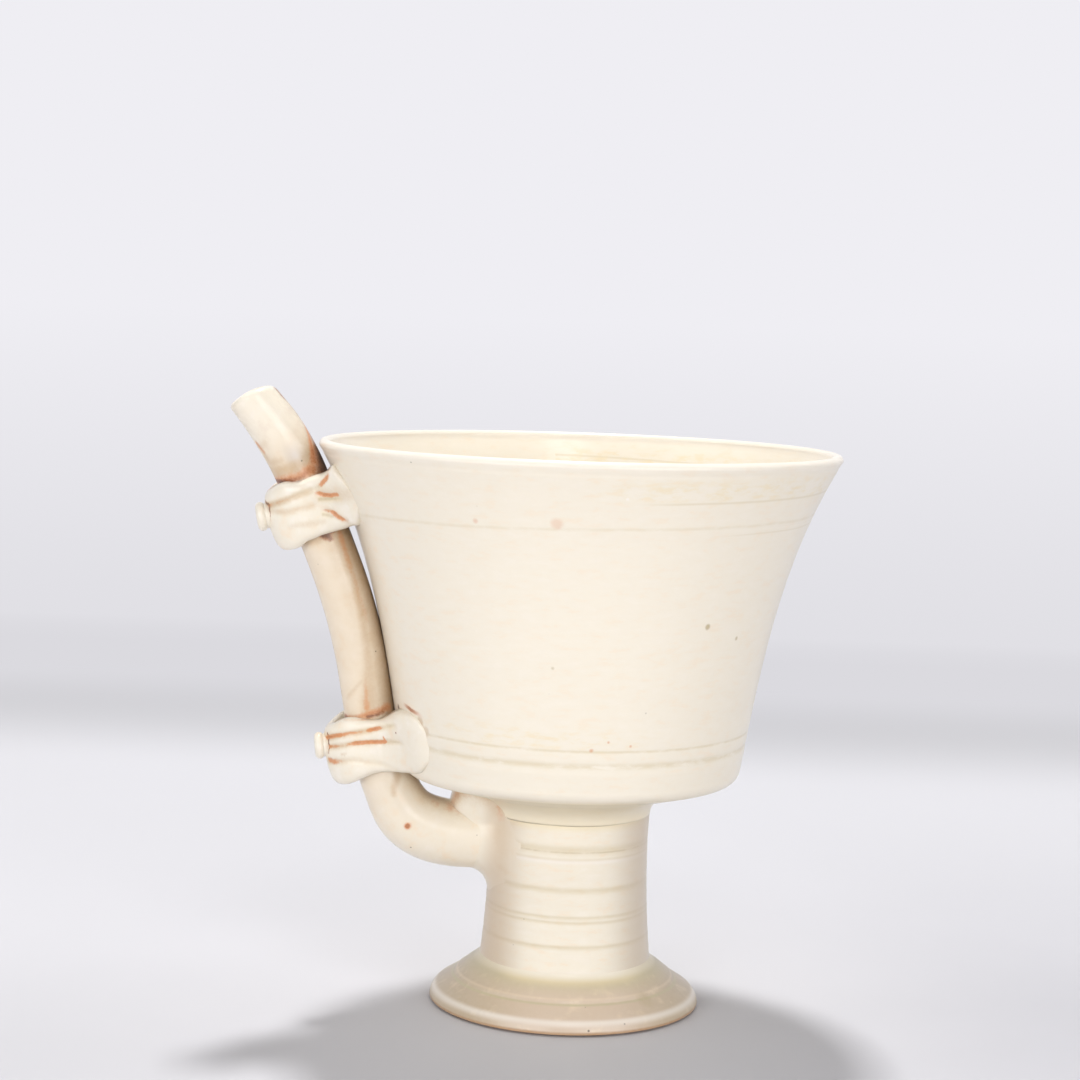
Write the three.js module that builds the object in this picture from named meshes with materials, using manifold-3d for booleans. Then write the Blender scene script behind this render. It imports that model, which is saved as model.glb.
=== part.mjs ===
// A porcelain stem cup with a drinking tube, in millimetres, +Z up, the tube on the -X side.
// The origin is the middle of the flat base. The cup is built as a potter builds it: thrown
// pieces and hand-rolled pieces, each its own solid, luted together where they meet.
// Wine runs from the bowl through the drain in its floor into the hollow stem, out through
// the port in the stem's side and up the bore of the tube to the mouthpiece.

import * as THREE from "three";
import { mergeVertices } from "three/addons/utils/BufferGeometryUtils.js";
import Module from "manifold-3d";

const wasm = await Module();
wasm.setup();

// Foot: a solid thrown disc with a sloping top, undercut where it meets the table
const FOOT_RADIUS = 26.3;
const FOOT_EDGE_ROUND = 3;
const FOOT_UNDERCUT = 1.8;
const FOOT_UNDERCUT_HEIGHT = 0.5;
const FOOT_HEIGHT = 8.7;
const FOOT_COVE = 1.1;
const FOOT_GROOVE_RADIUS = 21.2;

// Stem: a thrown tube with turned bands
const STEM_HEIGHT = 29.8;
const STEM_WAIST_RADIUS = 15.5;
const STEM_WAIST_ABOVE_FOOT = 21.6;
const STEM_TOP_SPREAD = 0.25;
const STEM_BOTTOM_SPREAD = 1.2;
const STEM_WALL = 3.2;
const STEM_BAND_HEIGHTS = [5.65, 10.8, 16.55, 22.45, 24.3];

// Bowl: thrown, with a flared lip and a turned corner above the stem
const NECK_RADIUS = 15.1;
const NECK_COVE = 2.5;
const UNDERSIDE_HEIGHT = 9.1;
const UNDERSIDE_SLOPE = THREE.MathUtils.degToRad(15.4);
const CORNER_RADIUS = 32.9;
const CORNER_ROUND = 2.6;
const BOWL_WALL_HEIGHT = 61.5;
const RIM_RADIUS = 50.1;
const LIP_FLARE = 7.6;
const LIP_FLARE_POWER = 3.25;
const BOWL_WALL = 2.8;
const LIP_THICKNESS = 2.2;
const BOWL_FLOOR = 3.7;
const FLOOR_ROUND = 4;
const DRAIN_RADIUS = 3;
const BOWL_BAND_HEIGHTS = [4.4, 7.1, 49.3];

// Grooves that the turning tool leaves
const GROOVE_DEPTH = 0.25;
const GROOVE_HALF_WIDTH = 0.45;

// Drinking tube: a hand-rolled tube, thicker at its root
const TUBE_RADIUS = 4.75;
const TUBE_BORE_RADIUS = 2.3;
const TUBE_ROOT_RADIUS = 6.5;
const ROOT_BELOW_STEM_TOP = 5.8;
const ROOT_RUN = 3.4;
const ROOT_HANDLE = 13;
const ELBOW_HANDLE = 12;
const ELBOW_LEAN = THREE.MathUtils.degToRad(13);
const TUBE_STANDOFF_LOW = 0.4;
const TUBE_STANDOFF_HIGH = 2.3;
const MOUTH_RUN = 15.8;
const MOUTH_LEAN = THREE.MathUtils.degToRad(35.7);
const MOUTH_RADIUS = 4.15;
const MOUTH_ROUND = 0.8;

// Root collar: the coil of clay worked into the angle between the tube and the stem
const COLLAR_SIZE = 4.2;

// Straps: two ribbed bands of clay that hold the tube to the bowl
const STRAP_WIDTH = 12;
const STRAP_THICKNESS = 2.5;
const STRAP_PAD_THICKNESS = 2.2;
const STRAP_GROOVE_DEPTH = 0.35;
const LOWER_STRAP = { slack: 2.7, reach: 16.6, button: 2.3, buttonRise: 0.6 };
const UPPER_STRAP = { slack: 0.9, reach: 11.4, button: 2.8, buttonRise: 0.5 };
const LOWER_STRAP_ABOVE_CORNER = 3.2;
const UPPER_STRAP_BELOW_RIM = 12.9;

// Buttons: a pellet of clay pressed on each strap's outermost point
const BUTTON_THICKNESS = 1.9;

// Room left for the slip between two pieces that are luted on curved faces
const LUTE_GAP = 0.3;

// Facets
const BOWL_SIDES = 48;
const STEM_SIDES = 40;
const TUBE_SIDES = 20;
const BUTTON_SIDES = 16;

// Levels and radii that follow from the sizes above
const STEM_TOP = FOOT_HEIGHT + STEM_HEIGHT;
const STEM_BORE = STEM_WAIST_RADIUS - STEM_WALL;
const CORNER_Z = STEM_TOP + UNDERSIDE_HEIGHT;
const RIM_Z = CORNER_Z + BOWL_WALL_HEIGHT;
const LIP_CENTRE_Z = RIM_Z - LIP_THICKNESS / 2;
const ROOT_HEIGHT = STEM_TOP - ROOT_BELOW_STEM_TOP;
const LOWER_STRAP_Z = CORNER_Z + LOWER_STRAP_ABOVE_CORNER;
const UPPER_STRAP_Z = RIM_Z - UPPER_STRAP_BELOW_RIM;

/** A point of a turned profile: radius and height. */
const at = (radius, z) => new THREE.Vector2(radius, z);

/** Points on a circular arc of a profile, from one angle to another, in degrees. */
function arc(centreRadius, centreZ, radius, from, to, steps) {
  return Array.from({ length: steps + 1 }, (_, i) => {
    const angle = THREE.MathUtils.degToRad(from + ((to - from) * i) / steps);
    return at(
      centreRadius + radius * Math.cos(angle),
      centreZ + radius * Math.sin(angle),
    );
  });
}

/** A solid turned about Z from a profile that goes up its outside. */
function turned(profile, sides) {
  const geometry = new THREE.LatheGeometry(profile, sides);
  return geometry.rotateX(Math.PI / 2);
}

/** A closed geometry as a manifold solid. */
function solid(geometry) {
  const bare = new THREE.BufferGeometry();
  bare.setAttribute("position", geometry.getAttribute("position"));
  bare.setIndex(geometry.getIndex());
  const merged = mergeVertices(bare, 1e-4);
  return new wasm.Manifold(
    new wasm.Mesh({
      numProp: 3,
      vertProperties: new Float32Array(merged.attributes.position.array),
      triVerts: new Uint32Array(merged.index.array),
    }),
  );
}

/** A manifold solid as a geometry with flat faces. */
function geometryOf(manifold) {
  const mesh = manifold.getMesh();
  const geometry = new THREE.BufferGeometry();
  geometry.setAttribute(
    "position",
    new THREE.BufferAttribute(new Float32Array(mesh.vertProperties), 3),
  );
  geometry.setIndex(new THREE.BufferAttribute(new Uint32Array(mesh.triVerts), 1));
  geometry.computeVertexNormals();
  return geometry;
}

/** A closed body through rings of equal length: capped at both ends, or joined into a loop. */
function loft(rings, looped = false) {
  const sides = rings[0].length;
  const positions = rings.flat().flatMap((p) => [p.x, p.y, p.z]);
  const index = [];
  const spans = looped ? rings.length : rings.length - 1;
  for (let i = 0; i < spans; i++) {
    const here = i * sides;
    const next = ((i + 1) % rings.length) * sides;
    for (let j = 0; j < sides; j++) {
      const k = (j + 1) % sides;
      index.push(here + j, here + k, next + k, here + j, next + k, next + j);
    }
  }
  if (!looped) {
    const last = (rings.length - 1) * sides;
    for (let j = 1; j < sides - 1; j++) {
      index.push(0, j + 1, j);
      index.push(last, last + j, last + j + 1);
    }
  }
  const geometry = new THREE.BufferGeometry();
  geometry.setAttribute(
    "position",
    new THREE.Float32BufferAttribute(positions, 3),
  );
  geometry.setIndex(index);
  return geometry;
}

// Turned pieces

/** The three points of a turning groove across a profile, given its radius by height. */
function groove(radiusAt, z) {
  return [
    at(radiusAt(z - GROOVE_HALF_WIDTH), z - GROOVE_HALF_WIDTH),
    at(radiusAt(z) - GROOVE_DEPTH, z),
    at(radiusAt(z + GROOVE_HALF_WIDTH), z + GROOVE_HALF_WIDTH),
  ];
}

/** A turned outside from one height to another, with its grooves, in even steps. */
function turnedWall(radiusAt, from, to, steps, grooves) {
  const clear = (z) => grooves.every((g) => Math.abs(g - z) > 2 * GROOVE_HALF_WIDTH);
  const plain = Array.from({ length: steps + 1 }, (_, i) => from + ((to - from) * i) / steps)
    .filter((z, i) => i === 0 || i === steps || clear(z))
    .map((z) => at(radiusAt(z), z));
  return [...plain, ...grooves.flatMap((z) => groove(radiusAt, z))].sort((a, b) => a.y - b.y);
}

/** Outer radius of the stem at a height. */
function stemRadius(z) {
  const fromWaist = z - FOOT_HEIGHT - STEM_WAIST_ABOVE_FOOT;
  const spread = fromWaist > 0 ? STEM_TOP_SPREAD : STEM_BOTTOM_SPREAD;
  const run = fromWaist > 0 ? STEM_HEIGHT - STEM_WAIST_ABOVE_FOOT : STEM_WAIST_ABOVE_FOOT;
  return STEM_WAIST_RADIUS + spread * (fromWaist / run) ** 2;
}

/** Outer radius of the bowl's wall at a height, carried on straight below the corner. */
function wallRadius(z) {
  const share = (z - CORNER_Z) / (LIP_CENTRE_Z - CORNER_Z);
  const taper = RIM_RADIUS - LIP_FLARE - CORNER_RADIUS;
  return CORNER_RADIUS + taper * share + LIP_FLARE * Math.max(share, 0) ** LIP_FLARE_POWER;
}

function footProfile() {
  const seat = stemRadius(FOOT_HEIGHT);
  const slopeTop = at(seat + FOOT_COVE, FOOT_HEIGHT - FOOT_COVE);
  const edge = arc(FOOT_RADIUS - FOOT_EDGE_ROUND, FOOT_UNDERCUT_HEIGHT, FOOT_EDGE_ROUND, 0, 60, 4);
  const slopeBottom = edge.at(-1);
  const slopeAt = (radius) => {
    const share = (slopeBottom.x - radius) / (slopeBottom.x - slopeTop.x);
    return slopeBottom.y + share * (slopeTop.y - slopeBottom.y);
  };
  const grooveEdges = [1, 0, -1].map((side) => {
    const radius = FOOT_GROOVE_RADIUS + side * GROOVE_HALF_WIDTH;
    return at(radius, slopeAt(radius) - (side ? 0 : GROOVE_DEPTH));
  });
  return [
    at(0, 0),
    at(FOOT_RADIUS - FOOT_UNDERCUT, 0),
    ...edge,
    ...grooveEdges,
    slopeTop,
    at(seat, FOOT_HEIGHT),
    at(0, FOOT_HEIGHT),
  ];
}

function stemProfile() {
  const bands = STEM_BAND_HEIGHTS.map((h) => FOOT_HEIGHT + h);
  const outside = turnedWall(stemRadius, FOOT_HEIGHT, STEM_TOP, 9, bands);
  return [
    ...outside,
    at(STEM_BORE, STEM_TOP),
    at(STEM_BORE, FOOT_HEIGHT),
    outside[0].clone(),
  ];
}

/** The bowl's outside from the seat on the stem to the top of the corner. */
function undersideProfile() {
  const slopeDegrees = THREE.MathUtils.radToDeg(UNDERSIDE_SLOPE);
  const corner = arc(CORNER_RADIUS - CORNER_ROUND, CORNER_Z, CORNER_ROUND, slopeDegrees - 90, 0, 5);
  const coveRadius = NECK_RADIUS + NECK_COVE;
  const coveZ = corner[0].y - (corner[0].x - coveRadius) * Math.tan(UNDERSIDE_SLOPE);
  const cove = [0, 30, 60, 90].map((degrees) => {
    const angle = THREE.MathUtils.degToRad(degrees);
    return at(
      coveRadius - NECK_COVE * Math.cos(angle),
      STEM_TOP + (coveZ - STEM_TOP) * Math.sin(angle),
    );
  });
  return [...cove, ...corner];
}

/** Height of the bowl's floor above a radius: it runs level over the neck, then up the cone. */
function floorHeight(radius, underside) {
  const cove = underside[3];
  return cove.y + BOWL_FLOOR + Math.max(radius - cove.x, 0) * Math.tan(UNDERSIDE_SLOPE);
}

function bowlProfile() {
  const underside = undersideProfile();
  const bands = BOWL_BAND_HEIGHTS.map((h) => CORNER_Z + h);
  const lipRadius = LIP_THICKNESS / 2;
  const wall = turnedWall(wallRadius, CORNER_Z, LIP_CENTRE_Z, 12, bands).slice(1);
  const lip = arc(RIM_RADIUS - lipRadius, LIP_CENTRE_Z, lipRadius, 36, 180, 4);
  const thickness = (z) =>
    THREE.MathUtils.lerp(BOWL_WALL, LIP_THICKNESS, (z - CORNER_Z) / (LIP_CENTRE_Z - CORNER_Z));
  const floorCorner = CORNER_RADIUS - BOWL_WALL - FLOOR_ROUND;
  const roundZ = floorHeight(floorCorner, underside) + FLOOR_ROUND;
  const inside = Array.from({ length: 10 }, (_, i) => {
    const z = THREE.MathUtils.lerp(LIP_CENTRE_Z, roundZ, i / 9);
    return at(wallRadius(z) - thickness(z), z);
  }).slice(1);
  const round = arc(floorCorner, roundZ, FLOOR_ROUND, 0, -75, 4).slice(1);
  const chamberTop = underside[3].y;
  return [
    at(STEM_BORE, STEM_TOP),
    ...underside,
    ...wall,
    ...lip,
    ...inside,
    ...round,
    at(underside[3].x, floorHeight(0, underside)),
    at(DRAIN_RADIUS, floorHeight(0, underside)),
    at(DRAIN_RADIUS, chamberTop),
    at(STEM_BORE - (chamberTop - STEM_TOP) / 2, chamberTop),
    at(STEM_BORE, STEM_TOP),
  ];
}

// Drinking tube: its centre line lies in the XZ plane, given here as distance from the
// cup's axis and height

/** A point of the tube's line beside the bowl, by its share of the way between the straps. */
function besideBowl(share) {
  const z = THREE.MathUtils.lerp(LOWER_STRAP_Z, UPPER_STRAP_Z, share);
  const opening = THREE.MathUtils.smoothstep(share, 0.3, 1.1);
  const standoff = THREE.MathUtils.lerp(TUBE_STANDOFF_LOW, TUBE_STANDOFF_HIGH, opening);
  return at(wallRadius(z) + standoff + TUBE_RADIUS, z);
}

/** The centre line of the tube from inside the stem's wall to the mouthpiece. */
function tubeLine() {
  const stations = [0, 0.2, 0.42, 0.66, 1, 1.17].map(besideBowl);
  const rootStart = at(stemRadius(ROOT_HEIGHT) - STEM_WALL / 2, ROOT_HEIGHT);
  const rootEnd = at(stemRadius(ROOT_HEIGHT) + ROOT_RUN, ROOT_HEIGHT);
  const first = stations[0];
  const elbow = new THREE.CubicBezierCurve(
    rootEnd,
    at(rootEnd.x + ROOT_HANDLE, rootEnd.y),
    at(
      first.x - ELBOW_HANDLE * Math.sin(ELBOW_LEAN),
      first.y - ELBOW_HANDLE * Math.cos(ELBOW_LEAN),
    ),
    first,
  );
  const last = stations.at(-1);
  const mouth = at(
    last.x + MOUTH_RUN * Math.sin(MOUTH_LEAN),
    last.y + MOUTH_RUN * Math.cos(MOUTH_LEAN),
  );
  const run = new THREE.SplineCurve([...stations, mouth]);
  return [
    rootStart,
    at((rootStart.x + rootEnd.x) / 2, ROOT_HEIGHT),
    ...elbow.getPoints(10),
    ...run.getPoints(18).slice(1),
  ];
}

const line = tubeLine();

/** Direction of the tube's line at a point of it, away from the stem. */
function lineDirection(i) {
  const before = line[Math.max(i - 1, 0)];
  const after = line[Math.min(i + 1, line.length - 1)];
  return after.clone().sub(before).normalize();
}

/** Outer radius of the tube at a point of its line: thick at the root, finer at the mouth. */
function tubeRadius(i) {
  const rise = THREE.MathUtils.clamp((line[i].y - ROOT_HEIGHT) / (LOWER_STRAP_Z - ROOT_HEIGHT), 0, 1);
  const thinning = THREE.MathUtils.smoothstep(Math.sqrt(rise), 0, 1);
  const toMouth = THREE.MathUtils.smoothstep(line[i].y, UPPER_STRAP_Z, line.at(-1).y);
  const root = THREE.MathUtils.lerp(TUBE_ROOT_RADIUS, TUBE_RADIUS, thinning);
  return root + (MOUTH_RADIUS - TUBE_RADIUS) * toMouth;
}

/** A ring about the tube's line, moved back along it where the mouth's edge is rounded. */
function tubeRing(i, radius, back = 0) {
  const direction = lineDirection(i);
  const centre = line[i].clone().addScaledVector(direction, -back);
  return Array.from({ length: TUBE_SIDES }, (_, j) => {
    const angle = (2 * Math.PI * j) / TUBE_SIDES;
    const out = radius * Math.cos(angle);
    return new THREE.Vector3(
      -(centre.x + out * direction.y),
      -radius * Math.sin(angle),
      centre.y - out * direction.x,
    );
  });
}

/** The tube's outside as a plain solid, swollen by a margin. */
function tubeBody(margin) {
  return loft(line.map((_, i) => tubeRing(i, tubeRadius(i) + margin)));
}

/** The stem's outside as a plain solid, swollen by the room for slip. */
const stemKeepOut = solid(
  turned(
    [
      at(0, -LUTE_GAP),
      ...turnedWall(stemRadius, FOOT_HEIGHT, STEM_TOP, 9, []).map((p) => at(p.x + LUTE_GAP, p.y)),
      at(0, STEM_TOP),
    ],
    STEM_SIDES,
  ),
);

/** The bowl's outside as a plain solid, swollen by the room for slip. */
const bowlKeepOut = solid(
  turned(
    [
      at(0, STEM_TOP - LUTE_GAP),
      ...undersideProfile().map((p) => at(p.x + LUTE_GAP, p.y - LUTE_GAP)),
      ...turnedWall(wallRadius, CORNER_Z, LIP_CENTRE_Z, 12, [])
        .map((p) => at(p.x + LUTE_GAP, p.y)),
      at(0, RIM_Z),
    ],
    BOWL_SIDES,
  ),
);

const tubeKeepOut = solid(tubeBody(LUTE_GAP));

function drinkingTube() {
  const end = line.length - 1;
  const outside = line.map((_, i) => tubeRing(i, tubeRadius(i), i === end ? MOUTH_ROUND : 0));
  const mouthEdge = tubeRing(end, MOUTH_RADIUS - MOUTH_ROUND);
  const bore = line.map((_, i) => tubeRing(i, TUBE_BORE_RADIUS)).reverse();
  const hollow = loft([...outside, mouthEdge, ...bore], true);
  return geometryOf(solid(hollow).subtract(stemKeepOut).subtract(bowlKeepOut));
}

/** The stem with the port that the tube's bore opens into. */
function stem() {
  const port = new THREE.CylinderGeometry(
    TUBE_BORE_RADIUS,
    TUBE_BORE_RADIUS,
    2 * STEM_WALL,
    TUBE_SIDES,
  )
    .rotateZ(Math.PI / 2)
    .translate(-(stemRadius(ROOT_HEIGHT) - STEM_WALL / 2), 0, ROOT_HEIGHT);
  return geometryOf(solid(turned(stemProfile(), STEM_SIDES)).subtract(solid(port)));
}

/** The collar's outside: a hollow curve that runs from the tube's skin out to the stem. */
function rootCollar() {
  const steps = 5;
  const stemFace = (y) => {
    const radius = stemRadius(ROOT_HEIGHT);
    return Math.sqrt(Math.max(radius ** 2 - y ** 2, 0));
  };
  const ring = (away, reach) =>
    Array.from({ length: TUBE_SIDES }, (_, j) => {
      const angle = (2 * Math.PI * j) / TUBE_SIDES;
      const y = reach * Math.sin(angle);
      return new THREE.Vector3(-(stemFace(y) + away), y, ROOT_HEIGHT + reach * Math.cos(angle));
    });
  const curve = Array.from({ length: steps + 1 }, (_, i) => {
    const angle = (Math.PI / 2) * (i / steps);
    return ring(
      COLLAR_SIZE * (1 - Math.sin(angle)),
      TUBE_ROOT_RADIUS + LUTE_GAP / 2 + COLLAR_SIZE * (1 - Math.cos(angle)),
    );
  });
  const back = ring(-STEM_WALL / 2, TUBE_ROOT_RADIUS + COLLAR_SIZE);
  const body = solid(loft([...curve, back].reverse()));
  return geometryOf(
    body.subtract(stemKeepOut).subtract(bowlKeepOut).subtract(tubeKeepOut),
  );
}

// Straps: each in a frame of its own, u away from the bowl, v along Y, w up the tube

/** The tube's place and direction at a height. */
function tubeAt(z) {
  const i = line.findIndex((p) => p.y >= z);
  const share = (z - line[i - 1].y) / (line[i].y - line[i - 1].y);
  return {
    centre: line[i - 1].clone().lerp(line[i], share),
    direction: lineDirection(i - 1).lerp(lineDirection(i), share).normalize(),
  };
}

/** Turns strap coordinates into the cup's own. */
function strapPlacer(z) {
  const { centre, direction } = tubeAt(z);
  return (u, v, w) =>
    new THREE.Vector3(
      -(centre.x + u * direction.y + w * direction.x),
      v,
      centre.y - u * direction.x + w * direction.y,
    );
}

/** Where the bowl's wall lies, as u, beside the tube at a place along Y. */
function wallBeside(place, v) {
  let [near, far] = [-2 * RIM_RADIUS, TUBE_RADIUS];
  for (let i = 0; i < 40; i++) {
    const u = (near + far) / 2;
    const p = place(u, v, 0);
    if (Math.hypot(p.x, p.y) < wallRadius(p.z)) near = u;
    else far = u;
  }
  return (near + far) / 2;
}

/** Half of a strap's middle line, from its outermost point to the end of its pad. */
function strapLine(place, { slack, reach }) {
  const half = STRAP_THICKNESS / 2;
  const side = TUBE_RADIUS + LUTE_GAP + half;
  const out = TUBE_RADIUS + slack + half;
  const loop = Array.from({ length: 9 }, (_, i) => {
    const angle = (Math.PI / 2) * (i / 8);
    return at(out * Math.cos(angle), side * Math.sin(angle));
  });
  const onWall = (v) => at(wallBeside(place, v) + half, v + half / 2);
  const landing = new THREE.SplineCurve([
    loop.at(-1),
    at(onWall(side).x + STRAP_THICKNESS, side + STRAP_THICKNESS / 2),
    onWall((side + reach) / 2),
    onWall(reach),
  ]);
  return [...loop, ...landing.getPoints(9).slice(1)];
}

/** Outward swell of a strap's ribbed face across its width, from -1 to 1. */
function ribSwell(across) {
  const grooves = [0.43, 0.02];
  const nearest = Math.min(...grooves.map((g) => Math.abs(across - g)));
  return -STRAP_GROOVE_DEPTH * Math.max(1 - nearest / 0.14, 0);
}

/** One strap before it is cut to its neighbours, thicker on its face by a margin. */
function strapBody(z, size, margin) {
  const place = strapPlacer(z);
  const front = strapLine(place, size);
  const middle = [...front.map((p) => at(p.x, -p.y)).reverse(), ...front.slice(1)];
  const across = [1, 0.86, 0.57, 0.43, 0.29, 0.16, 0.02, -0.12, -0.6, -0.86, -1];
  const rings = middle.map((p, i) => {
    const before = middle[Math.max(i - 1, 0)];
    const after = middle[Math.min(i + 1, middle.length - 1)];
    const along = after.clone().sub(before).normalize();
    const normal = at(along.y, -along.x);
    const fromEnd = Math.min(i, middle.length - 1 - i);
    const pad = 1 - THREE.MathUtils.smoothstep(fromEnd, 0, 6);
    const thickness = THREE.MathUtils.lerp(STRAP_THICKNESS, STRAP_PAD_THICKNESS, pad);
    const endRound = [0.62, 0.9, 1][Math.min(fromEnd, 2)];
    const halfWidth = (STRAP_WIDTH / 2) * endRound;
    const face = across.map((a) => {
      const edge = 1 - 0.45 * Math.max((Math.abs(a) - 0.8) / 0.2, 0);
      const out = (thickness / 2) * edge * endRound + ribSwell(a) * (1 - pad) + margin;
      return place(p.x + out * normal.x, p.y + out * normal.y, a * (halfWidth + margin));
    });
    const back = [-1, 0, 1].map((a) => {
      const out = -thickness / 2;
      return place(p.x + out * normal.x, p.y + out * normal.y, a * (halfWidth + margin));
    });
    return [...face, ...back];
  });
  return solid(loft(rings.reverse()));
}

function strap(z, size) {
  return geometryOf(strapBody(z, size, 0).subtract(tubeKeepOut).subtract(bowlKeepOut));
}

/** A button: a low round pellet, hollowed on its back to the strap that it sits on. */
function strapButton(z, size) {
  const place = strapPlacer(z);
  const face = TUBE_RADIUS + size.slack + STRAP_THICKNESS;
  const round = BUTTON_THICKNESS / 2;
  const profile = [
    at(0, -STRAP_THICKNESS / 2),
    at(size.button, -STRAP_THICKNESS / 2),
    ...arc(size.button - round, LUTE_GAP + round, round, 0, 90, 4),
    at(0, LUTE_GAP + BUTTON_THICKNESS),
  ];
  const origin = place(face, 0, size.buttonRise);
  const outward = place(face + 1, 0, size.buttonRise).sub(origin);
  const pellet = turned(profile, BUTTON_SIDES)
    .applyQuaternion(
      new THREE.Quaternion().setFromUnitVectors(new THREE.Vector3(0, 0, 1), outward),
    )
    .translate(origin.x, origin.y, origin.z);
  return geometryOf(solid(pellet).subtract(strapBody(z, size, LUTE_GAP)));
}

// Materials

const glaze = (color, roughness) =>
  new THREE.MeshStandardMaterial({ color, roughness, metalness: 0 });
const IVORY_GLAZE = glaze(0xf1e6d2, 0.22);
const POOLED_GLAZE = glaze(0xe3dcc0, 0.2);
const STAINED_GLAZE = glaze(0xeadcc4, 0.3);

// Assembly

const cup = new THREE.Group();

function add(name, geometry, material) {
  const mesh = new THREE.Mesh(geometry, material);
  mesh.name = name;
  cup.add(mesh);
}

add("foot", turned(footProfile(), BOWL_SIDES), POOLED_GLAZE);
add("stem", stem(), IVORY_GLAZE);
add("bowl", turned(bowlProfile(), BOWL_SIDES), IVORY_GLAZE);
add("drinking_tube", drinkingTube(), STAINED_GLAZE);
add("tube_root_collar", rootCollar(), STAINED_GLAZE);
add("lower_strap", strap(LOWER_STRAP_Z, LOWER_STRAP), STAINED_GLAZE);
add("upper_strap", strap(UPPER_STRAP_Z, UPPER_STRAP), STAINED_GLAZE);
add("lower_strap_button", strapButton(LOWER_STRAP_Z, LOWER_STRAP), STAINED_GLAZE);
add("upper_strap_button", strapButton(UPPER_STRAP_Z, UPPER_STRAP), STAINED_GLAZE);

export default cup;
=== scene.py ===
"""A porcelain cup with a drinking tube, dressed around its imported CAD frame.

Everything is in the frame's own axes: +Z up the bowl's axis, the tube on the -X side with its
middle line in the XZ plane. Sizes are written in millimetres and made metres where a mesh or a
node needs them. The levels that pieces share come from the frame.
"""

import logging
import math
from dataclasses import dataclass
from enum import Enum
from typing import Callable, Sequence, Union

import bmesh
import bpy
import numpy as np
from mathutils import Matrix, Vector


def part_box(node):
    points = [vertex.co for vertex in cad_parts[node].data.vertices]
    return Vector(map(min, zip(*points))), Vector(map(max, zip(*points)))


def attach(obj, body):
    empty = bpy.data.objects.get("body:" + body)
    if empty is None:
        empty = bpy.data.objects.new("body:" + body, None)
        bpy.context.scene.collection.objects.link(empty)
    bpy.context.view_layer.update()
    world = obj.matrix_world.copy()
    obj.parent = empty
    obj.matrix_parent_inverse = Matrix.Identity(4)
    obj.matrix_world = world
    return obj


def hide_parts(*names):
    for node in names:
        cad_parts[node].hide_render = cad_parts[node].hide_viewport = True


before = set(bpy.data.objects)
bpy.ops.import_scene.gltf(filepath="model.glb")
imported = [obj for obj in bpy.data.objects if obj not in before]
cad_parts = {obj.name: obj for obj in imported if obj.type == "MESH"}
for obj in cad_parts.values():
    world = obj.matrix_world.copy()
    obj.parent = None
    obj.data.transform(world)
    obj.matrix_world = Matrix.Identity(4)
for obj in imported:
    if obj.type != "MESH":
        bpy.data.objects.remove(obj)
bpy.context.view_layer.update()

LOG = logging.getLogger("porcelain_cup")
MM = 0.001
BODY = "root"
VIEW_AZIMUTH = -7.0
MERGE = 2e-6  # metres within which points are one
FULL_TURN = 2.0 * math.pi

Colour = tuple[float, float, float, float]
Point = Sequence[float]
Outline = Sequence[Point]
Span = tuple[float, float]
Array = np.ndarray
Piece = bpy.types.Object
Glaze = bpy.types.Material


def srgb(red: int, green: int, blue: int) -> Colour:
    """The linear colour of an 8-bit screen colour, with a full alpha."""
    linear = [((c / 255 + 0.055) / 1.055) ** 2.4 if c > 10 else c / 255 / 12.92 for c in (red, green, blue)]
    return (*linear, 1.0)


def smoothstep(value: Union[float, Array], low: float, high: float) -> Union[float, Array]:
    """A smooth rise from 0 at low to 1 at high."""
    share = np.clip((value - low) / (high - low), 0.0, 1.0)
    return share * share * (3.0 - 2.0 * share)


def along_points(points: Sequence[Point], at: Array) -> Array:
    """A smooth curve through a few (place, height) points, read at many places.

    Args:
        points: The points, in rising order of place.
        at: Where to read the curve.

    Returns:
        The curve's height there, held level past both ends.
    """
    places, heights = np.array(points, dtype=float).T
    slopes = np.gradient(heights, places)
    at = np.clip(at, places[0], places[-1])
    i = np.clip(np.searchsorted(places, at) - 1, 0, len(places) - 2)
    step = places[i + 1] - places[i]
    t = (at - places[i]) / step
    return (
        (2 * t**3 - 3 * t**2 + 1) * heights[i]
        + (t**3 - 2 * t**2 + t) * step * slopes[i]
        + (-2 * t**3 + 3 * t**2) * heights[i + 1]
        + (t**3 - t**2) * step * slopes[i + 1]
    )


def cubic(start: Point, leave: Point, arrive: Point, end: Point, count: int) -> Array:
    """Points along a cubic curve from its two ends and two handles.

    Args:
        start: Its first end.
        leave: The handle of its first end.
        arrive: The handle of its last end.
        end: Its last end.
        count: How many points to give.

    Returns:
        The points, a row each.
    """
    t = np.linspace(0.0, 1.0, count)[:, None]
    ends = (np.asarray(p) for p in (start, leave, arrive, end))
    shares = ((1 - t) ** 3, 3 * (1 - t) ** 2 * t, 3 * (1 - t) * t**2, t**3)
    return sum(share * point for share, point in zip(shares, ends))


# Node graphs


Input = Union["Value", float, int, Sequence[float], Glaze, None]
Inputs = dict[Union[str, int], Input]
Settings = dict[str, object]
Fields = dict[str, "Value"]


def operator(kind: str, reflected: bool = False) -> Callable[..., "Value"]:
    """Makes a method that puts a value and others through a Math node.

    Args:
        kind: The Math node's operation.
        reflected: Whether the value comes after the others.

    Returns:
        The method.
    """

    def method(value: "Value", *others: Input) -> "Value":
        """This value put through the Math node."""
        return value.graph.math(kind, *((*others, value) if reflected else (value, *others)))

    return method


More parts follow.
